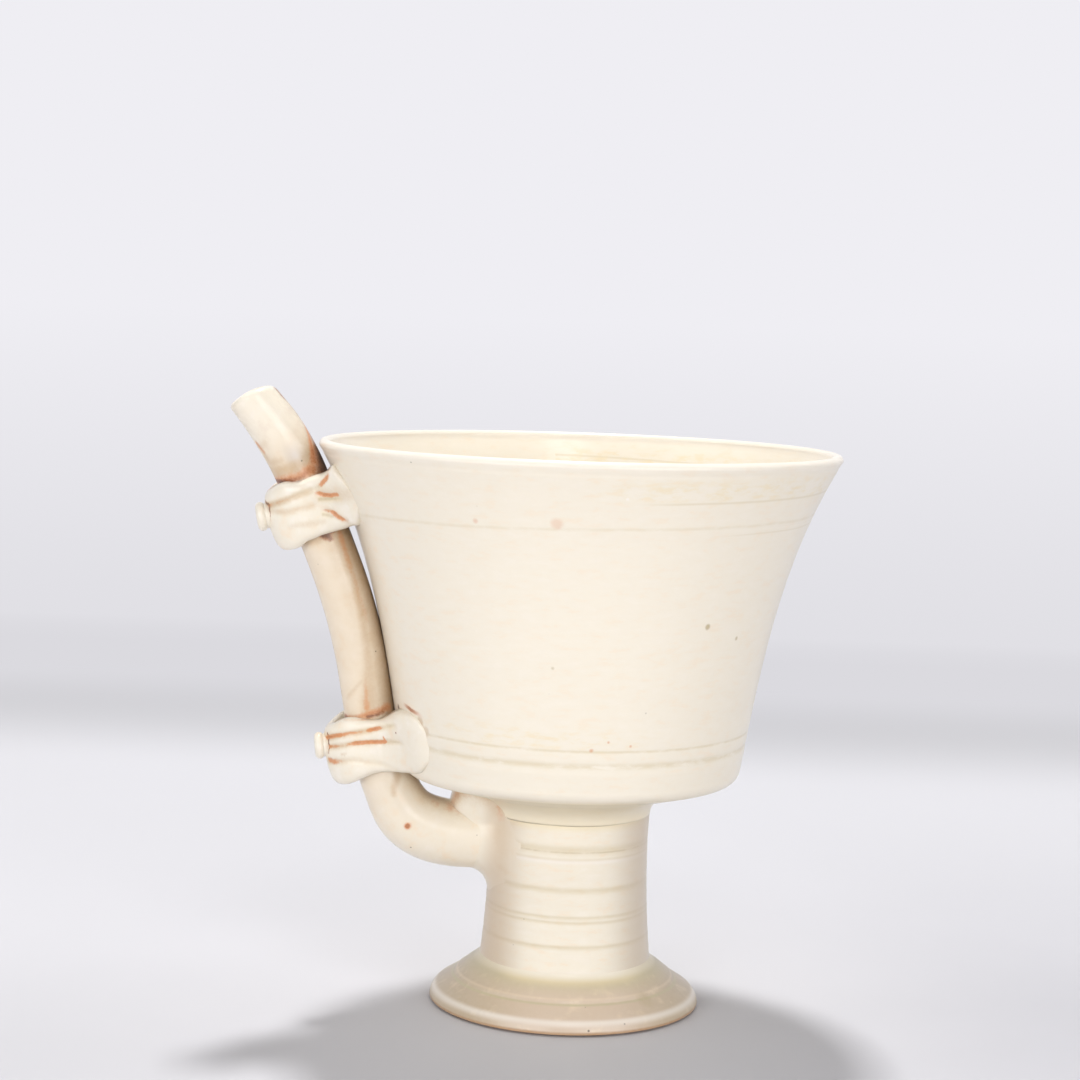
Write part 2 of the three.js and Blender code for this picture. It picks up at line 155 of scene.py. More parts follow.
class Value:
    """A socket's value in a node graph, which adds nodes as it is reckoned with."""

    __add__, __radd__ = operator("ADD"), operator("ADD", reflected=True)
    __sub__, __rsub__ = operator("SUBTRACT"), operator("SUBTRACT", reflected=True)
    __mul__, __rmul__ = operator("MULTIPLY"), operator("MULTIPLY", reflected=True)
    __truediv__, __rtruediv__ = operator("DIVIDE"), operator("DIVIDE", reflected=True)
    __abs__, __lt__ = operator("ABSOLUTE"), operator("LESS_THAN")
    sine, cosine = operator("SINE"), operator("COSINE")
    highest, lowest = operator("MAXIMUM"), operator("MINIMUM")

    def __init__(self, graph: "Graph", socket: bpy.types.NodeSocket) -> None:
        """Wraps one output socket of a graph."""
        self.graph = graph
        self.socket = socket

    def rise(self, low: float, high: float) -> "Value":
        """A smooth rise from 0 where this value is low to 1 where it is high."""
        if low > high:
            return 1.0 - self.rise(high, low)
        limits = {"Value": self, "From Min": low, "From Max": high}
        return self.graph.out("ShaderNodeMapRange", {"interpolation_type": "SMOOTHSTEP"}, limits, "Result")

    def bell(self, centre: float, half_width: float) -> "Value":
        """A soft bump, 1 where this value is at centre and 0 past its half width."""
        return abs(self - centre).rise(half_width, 0.0)


class Graph:
    """Adds nodes to one shader or geometry tree."""

    def __init__(self, tree: bpy.types.NodeTree) -> None:
        """Starts on a tree."""
        self.tree = tree

    @staticmethod
    def of(owner: bpy.types.ID) -> "Graph":
        """The emptied graph of a material or a world."""
        owner.use_nodes = True
        owner.node_tree.nodes.clear()
        return Graph(owner.node_tree)

    def node(
        self, kind: str, settings: Settings | None = None, inputs: Inputs | None = None
    ) -> bpy.types.Node:
        """Adds one node.

        Args:
            kind: The node's type name.
            settings: Its properties, set before its inputs.
            inputs: Values or links of its sockets, by name or by number.

        Returns:
            The new node.
        """
        node = self.tree.nodes.new(kind)
        for name, setting in (settings or {}).items():
            setattr(node, name, setting)
        for key, value in (inputs or {}).items():
            socket = self.pick(node.inputs, key)
            if isinstance(value, Value):
                self.tree.links.new(value.socket, socket)
            elif value is not None:
                socket.default_value = value
        return node

    @staticmethod
    def pick(sockets: Sequence[bpy.types.NodeSocket], key: str | int) -> bpy.types.NodeSocket:
        """The socket with a number, or the enabled one with a name."""
        if isinstance(key, int):
            return sockets[key]
        return next(s for s in sockets if s.name == key and s.enabled)

    def out(
        self,
        kind: str,
        settings: Settings | None = None,
        inputs: Inputs | None = None,
        output: str | int = 0,
    ) -> Value:
        """Adds one node and gives one of its enabled outputs, by name or by number."""
        node = self.node(kind, settings, inputs)
        return Value(self, self.pick([s for s in node.outputs if s.enabled], output))

    def math(self, operation: str, *values: Input) -> Value:
        """A Math node on up to three values."""
        return self.out("ShaderNodeMath", {"operation": operation}, dict(enumerate(values)))

    def xyz(self, x: Input, y: Input, z: Input) -> Value:
        """A vector from its three parts."""
        return self.out("ShaderNodeCombineXYZ", None, {0: x, 1: y, 2: z})

    def parts(self, vector: Value) -> tuple[Value, ...]:
        """The three parts of a vector."""
        return tuple(Value(self, s) for s in self.node("ShaderNodeSeparateXYZ", None, {0: vector}).outputs)

    def vector(self, operation: str, *values: Input) -> Value:
        """A Vector Math node on its values."""
        sockets = (0, 3) if operation == "SCALE" else (0, 1)
        output = "Value" if operation == "DISTANCE" else "Vector"
        return self.out("ShaderNodeVectorMath", {"operation": operation}, dict(zip(sockets, values)), output)

    def blend(self, factor: Input, first: Input, second: Input) -> Value:
        """Two colours mixed by a factor."""
        return self.out("ShaderNodeMix", {"data_type": "RGBA"}, {"Factor": factor, "A": first, "B": second})

    def noise(self, place: Value, size_mm: float, detail: float = 3.0, rough: float = 0.5) -> Value:
        """Cloudy noise with features of about one size, from 0 to 1."""
        inputs = {"Vector": place, "Scale": 1.0 / (size_mm * MM), "Detail": detail, "Roughness": rough}
        return self.out("ShaderNodeTexNoise", None, inputs)


# Shapes turned on the wheel and rolled by hand


@dataclass(frozen=True)
class Levels:
    """Heights and reaches that the pieces share, in millimetres, from the frame."""

    foot_top: float
    stem_top: float
    rim: float
    foot_radius: float
    rim_radius: float

    @staticmethod
    def from_frame() -> "Levels":
        """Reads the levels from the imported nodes' boxes."""
        foot, stem, bowl = (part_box(node)[1] for node in ("foot", "stem", "bowl"))
        return Levels(foot[2] / MM, stem[2] / MM, bowl[2] / MM, foot[0] / MM, bowl[0] / MM)


@dataclass(frozen=True)
class TurnedLine:
    """A line that the turning tool left: its height, half width and depth."""

    height: float
    half_width: float
    depth: float


@dataclass(frozen=True)
class Wheel:
    """How unevenly a piece came off the wheel, and the sides of its mesh."""

    sides: int = 256
    wobble: float = 0.08
    ring_height: float = 0.012
    ring_pitch: float = 3.1
    sway: float = 0.0
    seed: float = 0.0


def arc(centre: Point, radius: float, start: float, end: float, steps: int) -> list[Point]:
    """Points on an arc of a profile.

    Args:
        centre: Radius and height of the arc's centre.
        radius: The arc's own radius.
        start: Angle of the first point, in degrees.
        end: Angle of the last point, in degrees.
        steps: How many stretches the arc has.

    Returns:
        The points as radius and height.
    """
    angles = np.radians(np.linspace(start, end, steps + 1))
    return [(centre[0] + radius * math.cos(a), centre[1] + radius * math.sin(a)) for a in angles]


def rows_with_lines(low: float, high: float, spacing: float, lines: Sequence[TurnedLine]) -> Array:
    """Row heights for a wall, closer where a turned line crosses it.

    Args:
        low: The lowest row.
        high: The highest row.
        spacing: How far apart the rows are elsewhere.
        lines: The turned lines.

    Returns:
        The heights, rising.
    """
    rows = [np.linspace(low, high, max(2, int((high - low) / spacing)))]
    for line in lines:
        reach = 3.0 * line.half_width
        rows.append(np.linspace(line.height - reach, line.height + reach, 15))
    every = np.unique(np.round(np.concatenate(rows), 3))
    every = every[(every >= low) & (every <= high)]
    return every[np.concatenate([[True], np.diff(every) > 0.04])]


def line_depth(height: Array, lines: Sequence[TurnedLine]) -> Array:
    """How deep the turned lines cut at some heights."""
    return sum(line.depth * np.exp(-(((height - line.height) / line.half_width) ** 2)) for line in lines)


class GeometryTrees:
    """The geometry node trees, each built once."""

    def __init__(self) -> None:
        """Builds the trees for turned and for rolled pieces."""
        self.turned = self._turned()
        self.rolled = self._rolled()

    @staticmethod
    def _begin(name: str, sizes: Sequence[str]) -> tuple[Graph, Fields]:
        """Starts a tree with named inputs and a flat sheet of rows and sides to be bent.

        Args:
            name: The tree's name.
            sizes: The names of its sizes.

        Returns:
            The graph, and its inputs with the sheet and each point's row and place round it.
        """
        tree = bpy.data.node_groups.new(name, "GeometryNodeTree")
        kinds = {"Geometry": "Geometry", "Sides": "Int", "Rows": "Int", "Material": "Material"}
        for label in ("Geometry", "Sides", "Rows", *sizes, "Seed", "Material"):
            kind = "NodeSocket" + kinds.get(label, "Float")
            tree.interface.new_socket(label, in_out="INPUT", socket_type=kind)
        tree.interface.new_socket("Geometry", in_out="OUTPUT", socket_type="NodeSocketGeometry")
        graph = Graph(tree)
        given = {s.name: Value(graph, s) for s in graph.node("NodeGroupInput").outputs if s.name}
        grid = {"Size X": 1.0, "Size Y": 1.0, "Vertices X": given["Sides"] + 1, "Vertices Y": given["Rows"]}
        sheet = graph.node("GeometryNodeMeshGrid", None, grid)
        given["sheet"] = Value(graph, sheet.outputs["Mesh"])
        given["share"], height, _ = graph.parts(Value(graph, sheet.outputs["UV Map"]))
        given["row"] = graph.math("ROUND", height * (given["Rows"] - 1))
        given["angle"] = given["share"] * FULL_TURN
        given["cosine"], given["sine"] = given["angle"].cosine(), given["angle"].sine()
        return graph, given

    @staticmethod
    def _uneven(graph: Graph, given: Fields, along: Value, scale: float) -> Value:
        """Slow noise round and along a piece, as far as its wobble either way.

        Args:
            graph: The tree's graph.
            given: Its inputs and its sheet.
            along: The noise's measure along the piece.
            scale: The noise's scale.

        Returns:
            How far the skin is pushed out, in metres.
        """
        place = graph.xyz(given["cosine"], given["sine"], along)
        inputs = {"Vector": place, "W": given["Seed"], "Scale": scale, "Detail": 1.0}
        cloud = graph.out("ShaderNodeTexNoise", {"noise_dimensions": "4D"}, inputs)
        return (cloud - 0.5) * 2.0 * given["Wobble"]

    @staticmethod
    def _read(graph: Graph, given: Fields, name: str, kind: str) -> Value:
        """Reads the profile's position, or what it carries under a name, at a row's point.

        Args:
            graph: The tree's graph.
            given: Its inputs and its sheet.
            name: position, or the name.
            kind: The type of what is read.

        Returns:
            What is read for each point of the sheet.
        """
        if name == "position":
            field = graph.out("GeometryNodeInputPosition")
        else:
            carried = "GeometryNodeInputNamedAttribute"
            field = graph.out(carried, {"data_type": kind}, {"Name": name}, "Attribute")
        settings = {"data_type": kind, "domain": "POINT", "clamp": True}
        inputs = {"Geometry": given["Geometry"], "Value": field, "Index": given["row"]}
        return graph.out("GeometryNodeSampleIndex", settings, inputs)

    @staticmethod
    def _end(graph: Graph, given: Fields, place: Value, kept: Fields) -> bpy.types.NodeTree:
        """Ends a tree.

        Args:
            graph: The tree's graph.
            given: Its inputs and its sheet.
            place: Where each point of the sheet goes.
            kept: What each point carries on, by name.

        Returns:
            The tree, which gives smooth, closed, real faces in their material.
        """
        shape = graph.out("GeometryNodeSetPosition", None, {"Geometry": given["sheet"], "Position": place})
        for name, value in kept.items():
            settings = {"data_type": "FLOAT", "domain": "POINT"}
            inputs = {"Geometry": shape, "Name": name, "Value": value}
            shape = graph.out("GeometryNodeStoreNamedAttribute", settings, inputs)
        shape = graph.out("GeometryNodeMergeByDistance", None, {"Geometry": shape, "Distance": MERGE})
        for kind in ("SetShadeSmooth", "RealizeInstances"):
            shape = graph.out("GeometryNode" + kind, None, {"Geometry": shape})
        shape = graph.out("GeometryNodeSetMaterial", None, {"Geometry": shape, "Material": given["Material"]})
        graph.node("NodeGroupOutput", None, {"Geometry": shape})
        return graph.tree

    def _turned(self) -> bpy.types.NodeTree:
        """Turns a profile about Z, a little out of true as clay on a wheel is."""
        graph, given = self._begin("turned_on_wheel", ("Wobble", "Ring Height", "Ring Pitch", "Sway"))
        cosine, sine = given["cosine"], given["sine"]
        radius, _, height = graph.parts(self._read(graph, given, "position", "FLOAT_VECTOR"))
        rings = ((height / given["Ring Pitch"]) * FULL_TURN + given["angle"]).sine() * given["Ring Height"]
        uneven = self._uneven(graph, given, height * 14.0, 0.9) + rings
        lean = (1.0 - cosine) * given["Sway"] * (height - 0.03).rise(0.0, 0.02)
        reach = radius + (uneven + lean) * radius.rise(0.001, 0.012)
        return self._end(graph, given, graph.xyz(reach * cosine, reach * sine, height), {})

    def _rolled(self) -> bpy.types.NodeTree:
        """Sweeps rings along a line in the XZ plane, pressed a little out of round by hand."""
        graph, given = self._begin("rolled_by_hand", ("Wobble",))
        centre, outward = (self._read(graph, given, name, "FLOAT_VECTOR") for name in ("position", "outward"))
        reach, along = (self._read(graph, given, name, "FLOAT") for name in ("reach", "along"))
        pressed = reach + self._uneven(graph, given, along * 90.0, 0.8) * reach.rise(0.0025, 0.0035)
        aside = graph.xyz(0.0, pressed * given["sine"], 0.0)
        forward = graph.vector("SCALE", outward, pressed * given["cosine"])
        place = graph.vector("ADD", graph.vector("ADD", centre, aside), forward)
        return self._end(graph, given, place, {"along_mm": along / MM, "turn": given["share"]})


def linked(name: str, data: bpy.types.ID) -> Piece:
    """A new object in the scene that holds some data."""
    obj = bpy.data.objects.new(name, data)
    bpy.context.scene.collection.objects.link(obj)
    return obj


def carry(mesh: bpy.types.Mesh, name: str, values: Sequence, kind: str = "FLOAT") -> None:
    """Writes a number or a vector for each point of a mesh, for a node tree to read.

    Args:
        mesh: The mesh.
        name: The name that the tree reads it by.
        values: The numbers or vectors, in the points' order.
        kind: FLOAT, or FLOAT_VECTOR.
    """
    layer = mesh.attributes.new(name, kind, "POINT")
    field = "value" if kind == "FLOAT" else "vector"
    layer.data.foreach_set(field, np.asarray(values, dtype=np.float32).ravel())


def evaluated_mesh(obj: Piece) -> bpy.types.Mesh:
    """A plain mesh of an object with its modifiers."""
    return bpy.data.meshes.new_from_object(obj.evaluated_get(bpy.context.evaluated_depsgraph_get()))


def shaped_piece(name: str, mesh: bpy.types.Mesh, tree: bpy.types.NodeTree, inputs: Settings) -> Piece:
    """Runs a geometry tree on a mesh and turns the result into a plain piece.

    Args:
        name: The piece's name.
        mesh: The profile or the line that the tree reads.
        tree: The geometry tree.
        inputs: The tree's inputs by name.

    Returns:
        The piece.
    """
    holder = linked(mesh.name, mesh)
    modifier = holder.modifiers.new("shape", "NODES")
    modifier.node_group = tree
    for item in tree.interface.items_tree:
        if item.in_out == "INPUT" and item.name in inputs:
            modifier[item.identifier] = inputs[item.name]
    shaped = evaluated_mesh(holder)
    bpy.data.objects.remove(holder, do_unlink=True)
    shaped.name = name
    return linked(name, shaped)


def turned_piece(
    name: str, profile: Outline, wheel: Wheel, trees: GeometryTrees, material: Glaze
) -> Piece:
    """A piece turned about Z from a profile that goes up its outside.

    Args:
        name: The piece's name.
        profile: Radius and height of each row, in millimetres.
        wheel: How unevenly it is turned, and its sides.
        trees: The geometry node trees.
        material: Its glaze.

    Returns:
        The piece as a plain mesh.
    """
    mesh = bpy.data.meshes.new(name + "_profile")
    mesh.from_pydata([(r * MM, 0.0, z * MM) for r, z in profile], [], [])
    inputs = {
        "Sides": wheel.sides,
        "Rows": len(profile),
        "Wobble": wheel.wobble * MM,
        "Ring Height": wheel.ring_height * MM,
        "Ring Pitch": wheel.ring_pitch * MM,
        "Sway": wheel.sway * MM,
        "Seed": wheel.seed,
        "Material": material,
    }
    return shaped_piece(name, mesh, trees.turned, inputs)


def mesh_piece(
    name: str, vertices: Array, faces: Sequence[Sequence[int]], material: Glaze, carried: dict[str, Array]
) -> Piece:
    """A smooth closed piece from its points, merged and facing outwards.

    Args:
        name: The piece's name.
        vertices: Its points in millimetres, three columns.
        faces: Its faces.
        material: Its glaze.
        carried: Numbers for each point that the glaze reads, by name.

    Returns:
        The piece.
    """
    mesh = bpy.data.meshes.new(name)
    mesh.from_pydata((vertices * MM).tolist(), [], faces)
    for label, values in carried.items():
        carry(mesh, label, values)
    mesh.update()
    work = bmesh.new()
    work.from_mesh(mesh)
    bmesh.ops.remove_doubles(work, verts=work.verts, dist=MERGE)
    bmesh.ops.dissolve_degenerate(work, edges=work.edges, dist=1e-7)
    bmesh.ops.recalc_face_normals(work, faces=work.faces)
    for face in work.faces:
        face.smooth = True
    work.to_mesh(mesh)
    work.free()
    mesh.materials.append(material)
    return linked(name, mesh)


def grid_faces(rows: int, columns: int) -> list[Sequence[int]]:
    """The faces of rows of points, each row closed into a ring."""
    pairs = [(j, (j + 1) % columns) for j in range(columns)]
    starts = [(i * columns, (i + 1) * columns) for i in range(rows - 1)]
    return [(low + j, low + k, high + k, high + j) for low, high in starts for j, k in pairs]


# Glazes


class Tint(Enum):
    """What colours a stroke in the glaze."""

    TAN = "tan"
    ORANGE = "orange"
    UMBER = "umber"
    # Brown iron stain together with painted shade, on the tube's side that faces the bowl.
    BROWN = "brown"
    OLIVE = "olive"


# A stroke is a run of knots, each a first measure, a second measure, a half width and a strength.
Knot = tuple[float, float, float, float]
Strokes = dict[Tint, Sequence[Sequence[Knot]]]


def off_line(knots: Array, first: Array, second: Array) -> tuple[Array, Array]:
    """How far points lie from a line, and what the line carries nearest to them.

    Args:
        knots: The line's points: two measures, then the numbers that it carries.
        first: The first measure of each point.
        second: The second measure of each point.

    Returns:
        The distance, and the carried numbers in a last dimension.
    """
    best = np.full(np.broadcast(first, second).shape, 1e9)
    carried = np.zeros(best.shape + (knots.shape[1] - 2,))
    ends = zip(knots[:-1], knots[1:]) if len(knots) > 1 else [(knots[0], knots[0])]
    for a, b in ends:
        run = b[:2] - a[:2]
        t = ((first - a[0]) * run[0] + (second - a[1]) * run[1]) / max(float(run @ run), 1e-9)
        t = np.clip(t, 0.0, 1.0)
        off = np.hypot(first - a[0] - t * run[0], second - a[1] - t * run[1])
        closer = off < best
        best = np.where(closer, off, best)
        carried = np.where(closer[..., None], a[2:] + t[..., None] * (b[2:] - a[2:]), carried)
    return best, carried


def painted(strokes: Strokes, first: Array, second: Array, girth: float = 1.0) -> dict[str, Array]:
    """How much of each tint the strokes lay down at some points.

    Args:
        strokes: The strokes of each tint.
        first: The first measure of each point.
        second: The second measure of each point, in the strokes' own unit.
        girth: Millimetres in one unit of the second measure.

    Returns:
        The amount at each point, from 0 to 1, by the tint's name.
    """
    amounts = {}
    for tint in Tint:
        amount = np.zeros(np.broadcast(first, second).shape)
        for run in strokes.get(tint, ()):
            knots = np.array(run, dtype=float) * [1.0, girth, 1.0, 1.0]
            off, carried = off_line(knots, first, second * girth)
            amount = np.maximum(amount, carried[..., 1] * np.exp(-((off / carried[..., 0]) ** 2)))
        amounts[tint.value] = amount
    return amounts


@dataclass(frozen=True)
class GlazeColours:
    """The colours that the glaze takes from thin to thick, what has stained it, and the painted shade on some
    sides.
    """

    ivory: Colour = srgb(240, 231, 214)
    thin: Colour = srgb(247, 240, 232)
    blush: Colour = srgb(241, 222, 196)
    cool: Colour = srgb(228, 221, 209)
    pooled: Colour = srgb(214, 203, 165)
    buttery: Colour = srgb(236, 220, 182)
    olive: Colour = srgb(184, 165, 124)
    line: Colour = srgb(214, 198, 162)
    # Painted shade for the stem's and the collar's sides.
    shade: Colour = srgb(205, 188, 168)
    tan: Colour = srgb(206, 177, 140)
    orange: Colour = srgb(214, 140, 84)
    # Brown for iron stain and for painted shade on the tube's side that faces the bowl.
    brown: Colour = srgb(158, 124, 84)
    rust: Colour = srgb(164, 94, 54)
    umber: Colour = srgb(88, 54, 34)
    ash: Colour = srgb(212, 205, 200)
    foot_body: Colour = srgb(214, 194, 173)
    foot_side_shade: Colour = srgb(184, 166, 134)
    # Painted shade for the foot's sides.
    foot_pool: Colour = srgb(196, 187, 150)
    pinhole: Colour = srgb(120, 105, 84)
    speck: Colour = srgb(84, 66, 48)
    bare_clay: Colour = srgb(184, 142, 102)


@dataclass(frozen=True)
class GlazeSkin:
    """How smooth the fired glaze is, and the ripple in it in millimetres."""

    roughness: float = 0.36
    refraction: float = 1.5
    specular: float = 0.32
    coat: float = 0.35
    coat_roughness: float = 0.13
    ripple_size: float = 3.2
    ripple_depth: float = 0.03
    ripple_strength: float = 0.3


class GlazeShader:
    """Builds one glaze material, layer by layer, on object coordinates in millimetres."""

    def __init__(self, name: str, colours: GlazeColours, skin: GlazeSkin = GlazeSkin()) -> None:
        """Starts with the ivory glaze and the clouding that its layers share.

        Args:
            name: The material's name.
            colours: The glaze's colours.
            skin: How smooth it is.
        """
        self.material = bpy.data.materials.new(name)
        self.graph = Graph.of(self.material)
        self.colours = colours
        self.skin = skin
        self.place = self.graph.out("ShaderNodeTexCoord", None, None, "Object")
        x, y, z = self.graph.parts(self.place)
        self.x, self.y, self.z = x / MM, y / MM, z / MM
        self.radius = self.graph.math("SQRT", self.x * self.x + self.y * self.y)
        self.cloud = self.graph.noise(self.place, 24.0, 3.0)
        self.mottle = self.graph.noise(self.place, 3.4, 4.0, 0.6)
        self.grain = self.graph.noise(self.place, 0.9, 2.0)
        self.fine = self.graph.noise(self.place, 0.55, 3.0, 0.65)
        drawn_level = self.graph.vector("MULTIPLY", self.place, (0.34, 0.34, 1.0))
        self.thrown = self.graph.noise(drawn_level, 1.3, 4.0, 0.6)
        self.colour: Input = colours.ivory

    def stain(self, mask: Input, colour: Colour) -> "GlazeShader":
        """Lays a colour over what is there, where a mask says."""
        self.colour = self.graph.blend(mask, self.colour, colour)
        return self

    def amount(self, name: str) -> Value:
        """What a piece's points carry under a name."""
        return self.graph.out("ShaderNodeAttribute", {"attribute_name": name}, None, "Fac")

    def thrown_mottle(self, warm: float, pale: float) -> "GlazeShader":
        """The glaze's faint level streaks, as on a thrown wall.

        Args:
            warm: How strong the peach ones are.
            pale: How strong the white ones are.

        Returns:
            The shader, for the next layer.
        """
        c = self.colours
        self.stain(self.thrown.rise(0.5, 0.72) * (0.45 + self.cloud) * warm, c.blush)
        self.stain(self.thrown.rise(0.5, 0.3) * (1.3 - self.cloud) * pale, c.thin)
        return self.stain((self.fine.rise(0.62, 0.8) * self.mottle.rise(0.45, 0.7)) * 0.5 * warm, c.blush)

    def rolled_mottle(self, warm: float, pale: float) -> "GlazeShader":
        """The glaze's uneven patches, as on a piece worked by hand.

        Args:
            warm: How strong the peach ones are.
            pale: How strong the white ones are.

        Returns:
            The shader, for the next layer.
        """
        self.stain(self.mottle.rise(0.5, 0.72) * (0.4 + self.cloud) * warm, self.colours.blush)
        return self.stain(self.mottle.rise(0.5, 0.3) * pale, self.colours.thin)

    def strokes(self) -> "GlazeShader":
        """Lays the strokes that the piece's points carry, tan first and umber last."""
        c = self.colours
        rough = (self.mottle - 0.5) * 0.5 + (self.fine - 0.5) * 0.5
        for tint, ragged, layers in (
            (Tint.TAN, 0.5, ((0.1, 0.95, 0.85, c.tan),)),
            (Tint.BROWN, 0.12, ((0.06, 0.9, 0.85, c.brown), (0.72, 1.1, 0.7, c.umber))),
            (Tint.OLIVE, 0.5, ((0.2, 0.9, 0.6, c.olive),)),
            (Tint.ORANGE, 0.9, ((0.12, 0.95, 0.85, c.orange), (0.6, 1.2, 0.7, c.rust))),
            (Tint.UMBER, 0.9, ((0.2, 0.6, 0.7, c.rust), (0.42, 0.9, 0.9, c.umber))),
        ):
            amount = self.amount(tint.value) + rough * ragged
            for low, high, much, colour in layers:
                self.stain(amount.rise(low, high) * much, colour)
        return self

    def spot(
        self, angle: float, height: float, radius: float, reach: float, colour: Colour, much: float
    ) -> None:
        """Lays a soft, ragged spot on a turned piece.

        Args:
            angle: Degrees round from the side that the photo shows, to the right.
            height: Its height in millimetres.
            radius: Its radius in millimetres.
            reach: The piece's own radius there.
            colour: Its colour.
            much: How strong it is.
        """
        a = math.radians(angle)
        centre = (reach * math.sin(a) * MM, -reach * math.cos(a) * MM, height * MM)
        away = self.graph.vector("DISTANCE", self.place, centre) / (radius * MM)
        ragged = away + (self.mottle - 0.5) * 0.9
        self.stain(ragged.rise(1.0, 0.35) * much, colour)

    def pinholes(self, spacing: float, radius: float, share: float) -> None:
        """Scatters tiny dark pinholes.

        Args:
            spacing: The size of the cells that may have one, in millimetres.
            radius: A pinhole's radius in millimetres.
            share: The share of the cells that have one.
        """
        inputs = {"Vector": self.place, "Scale": 1.0 / (spacing * MM)}
        cells = self.graph.node("ShaderNodeTexVoronoi", {"feature": "F1"}, inputs)
        chance, size, _ = self.graph.parts(Value(self.graph, cells.outputs["Color"]))
        near = Value(self.graph, cells.outputs["Distance"]) * spacing
        dot = near.rise(radius * 1.3, radius * 0.7) * (chance < share) * (0.35 + 0.65 * size)
        self.stain(dot * 0.8, self.colours.pinhole)

    def finish(self) -> Glaze:
        """Adds the fine grain, the skin's ripple and the shader, and gives the finished material."""
        graph, skin = self.graph, self.skin
        grained = graph.blend((self.grain - 0.5) * 0.16 + 0.04, self.colour, self.colours.cool)
        ripple = graph.noise(self.place, skin.ripple_size, 2.0) + 0.15 * self.grain
        bumps = {"Strength": skin.ripple_strength, "Distance": skin.ripple_depth * MM, "Height": ripple}
        inputs = {
            "Base Color": grained,
            "Roughness": skin.roughness,
            "IOR": skin.refraction,
            "Specular IOR Level": skin.specular,
            "Coat Weight": skin.coat,
            "Coat Roughness": skin.coat_roughness,
            "Normal": graph.out("ShaderNodeBump", None, bumps, "Normal"),
        }
        shader = graph.out("ShaderNodeBsdfPrincipled", None, inputs)
        graph.node("ShaderNodeOutputMaterial", None, {"Surface": shader})
        return self.material


# The cup's thrown pieces


@dataclass(frozen=True)
class Foot:
    """The thrown foot, in millimetres."""

    levels: Levels
    edge_round: float = 3.0
    edge_turn: float = 58.0
    undercut: float = 1.8
    undercut_height: float = 0.5
    slope_hollow: float = 0.12
    ledge_radius: float = 21.2
    ledge_width: float = 0.5
    ledge_drop: float = 0.22
    ledge_fade: float = 1.1
    seat_radius: float = 16.7
    cove: float = 2.6
    cove_fall: float = 0.62
    cove_rise: float = 1.5
    cove_sink: float = 0.28
    cap_drop: float = 0.1
    wheel: Wheel = Wheel(wobble=0.06, ring_height=0.01, seed=3.0)

    def profile(self) -> Outline:
        """The foot from the middle of its base up its outside and back to the middle."""
        top, outer, seat = self.levels.foot_top, self.levels.foot_radius, self.seat_radius
        edge = arc((outer - self.edge_round, self.undercut_height), self.edge_round, 0.0, self.edge_turn, 14)
        (edge_radius, edge_z), slope_radius = edge[-1], seat + self.cove
        radii = np.linspace(edge_radius, slope_radius, 60)[1:]
        share = (edge_radius - radii) / (edge_radius - slope_radius)
        heights = edge_z + share * (top - self.cove_fall * self.cove - edge_z)
        ledge_end = self.ledge_radius + self.ledge_width
        ledge = smoothstep(radii, self.ledge_radius, ledge_end)
        ledge = ledge * np.exp(-np.maximum(radii - ledge_end, 0.0) / self.ledge_fade)
        heights = heights - self.slope_hollow * np.sin(np.pi * share) - self.ledge_drop * ledge
        slope = np.stack([radii, heights], axis=1)
        way = (slope[-2] - slope[-1]) / np.linalg.norm(slope[-2] - slope[-1])
        cove_end = (seat - self.cove_sink, top + self.cove_rise)
        handles = (slope[-1] - 0.5 * self.cove * way, (cove_end[0] + 0.02, cove_end[1] - 0.55 * self.cove))
        cove = cubic(slope[-1], *handles, cove_end, 18)[1:]
        bare, under, flat = outer - self.undercut, self.undercut_height, top - self.cap_drop
        base = [(0.0, 0.0), (bare * 0.5, 0.0), (bare - 0.6, 0.0), (bare - 0.1, 0.0), (bare, 0.02)]
        lip = [(outer - 0.5, under * 0.72), (outer - 0.12, under * 0.85)]
        inner = seat - 1.0
        cap = [(seat - 0.5, top + 0.4), (seat - 0.6, flat), (inner, flat), (inner * 0.5, flat), (0.0, flat)]
        return [*base, *lip, *edge, *slope, *cove, *cap]

    def build(self, trees: GeometryTrees, material: Glaze) -> Piece:
        """Turns the foot."""
        return turned_piece("glazed_foot", self.profile(), self.wheel, trees, material)


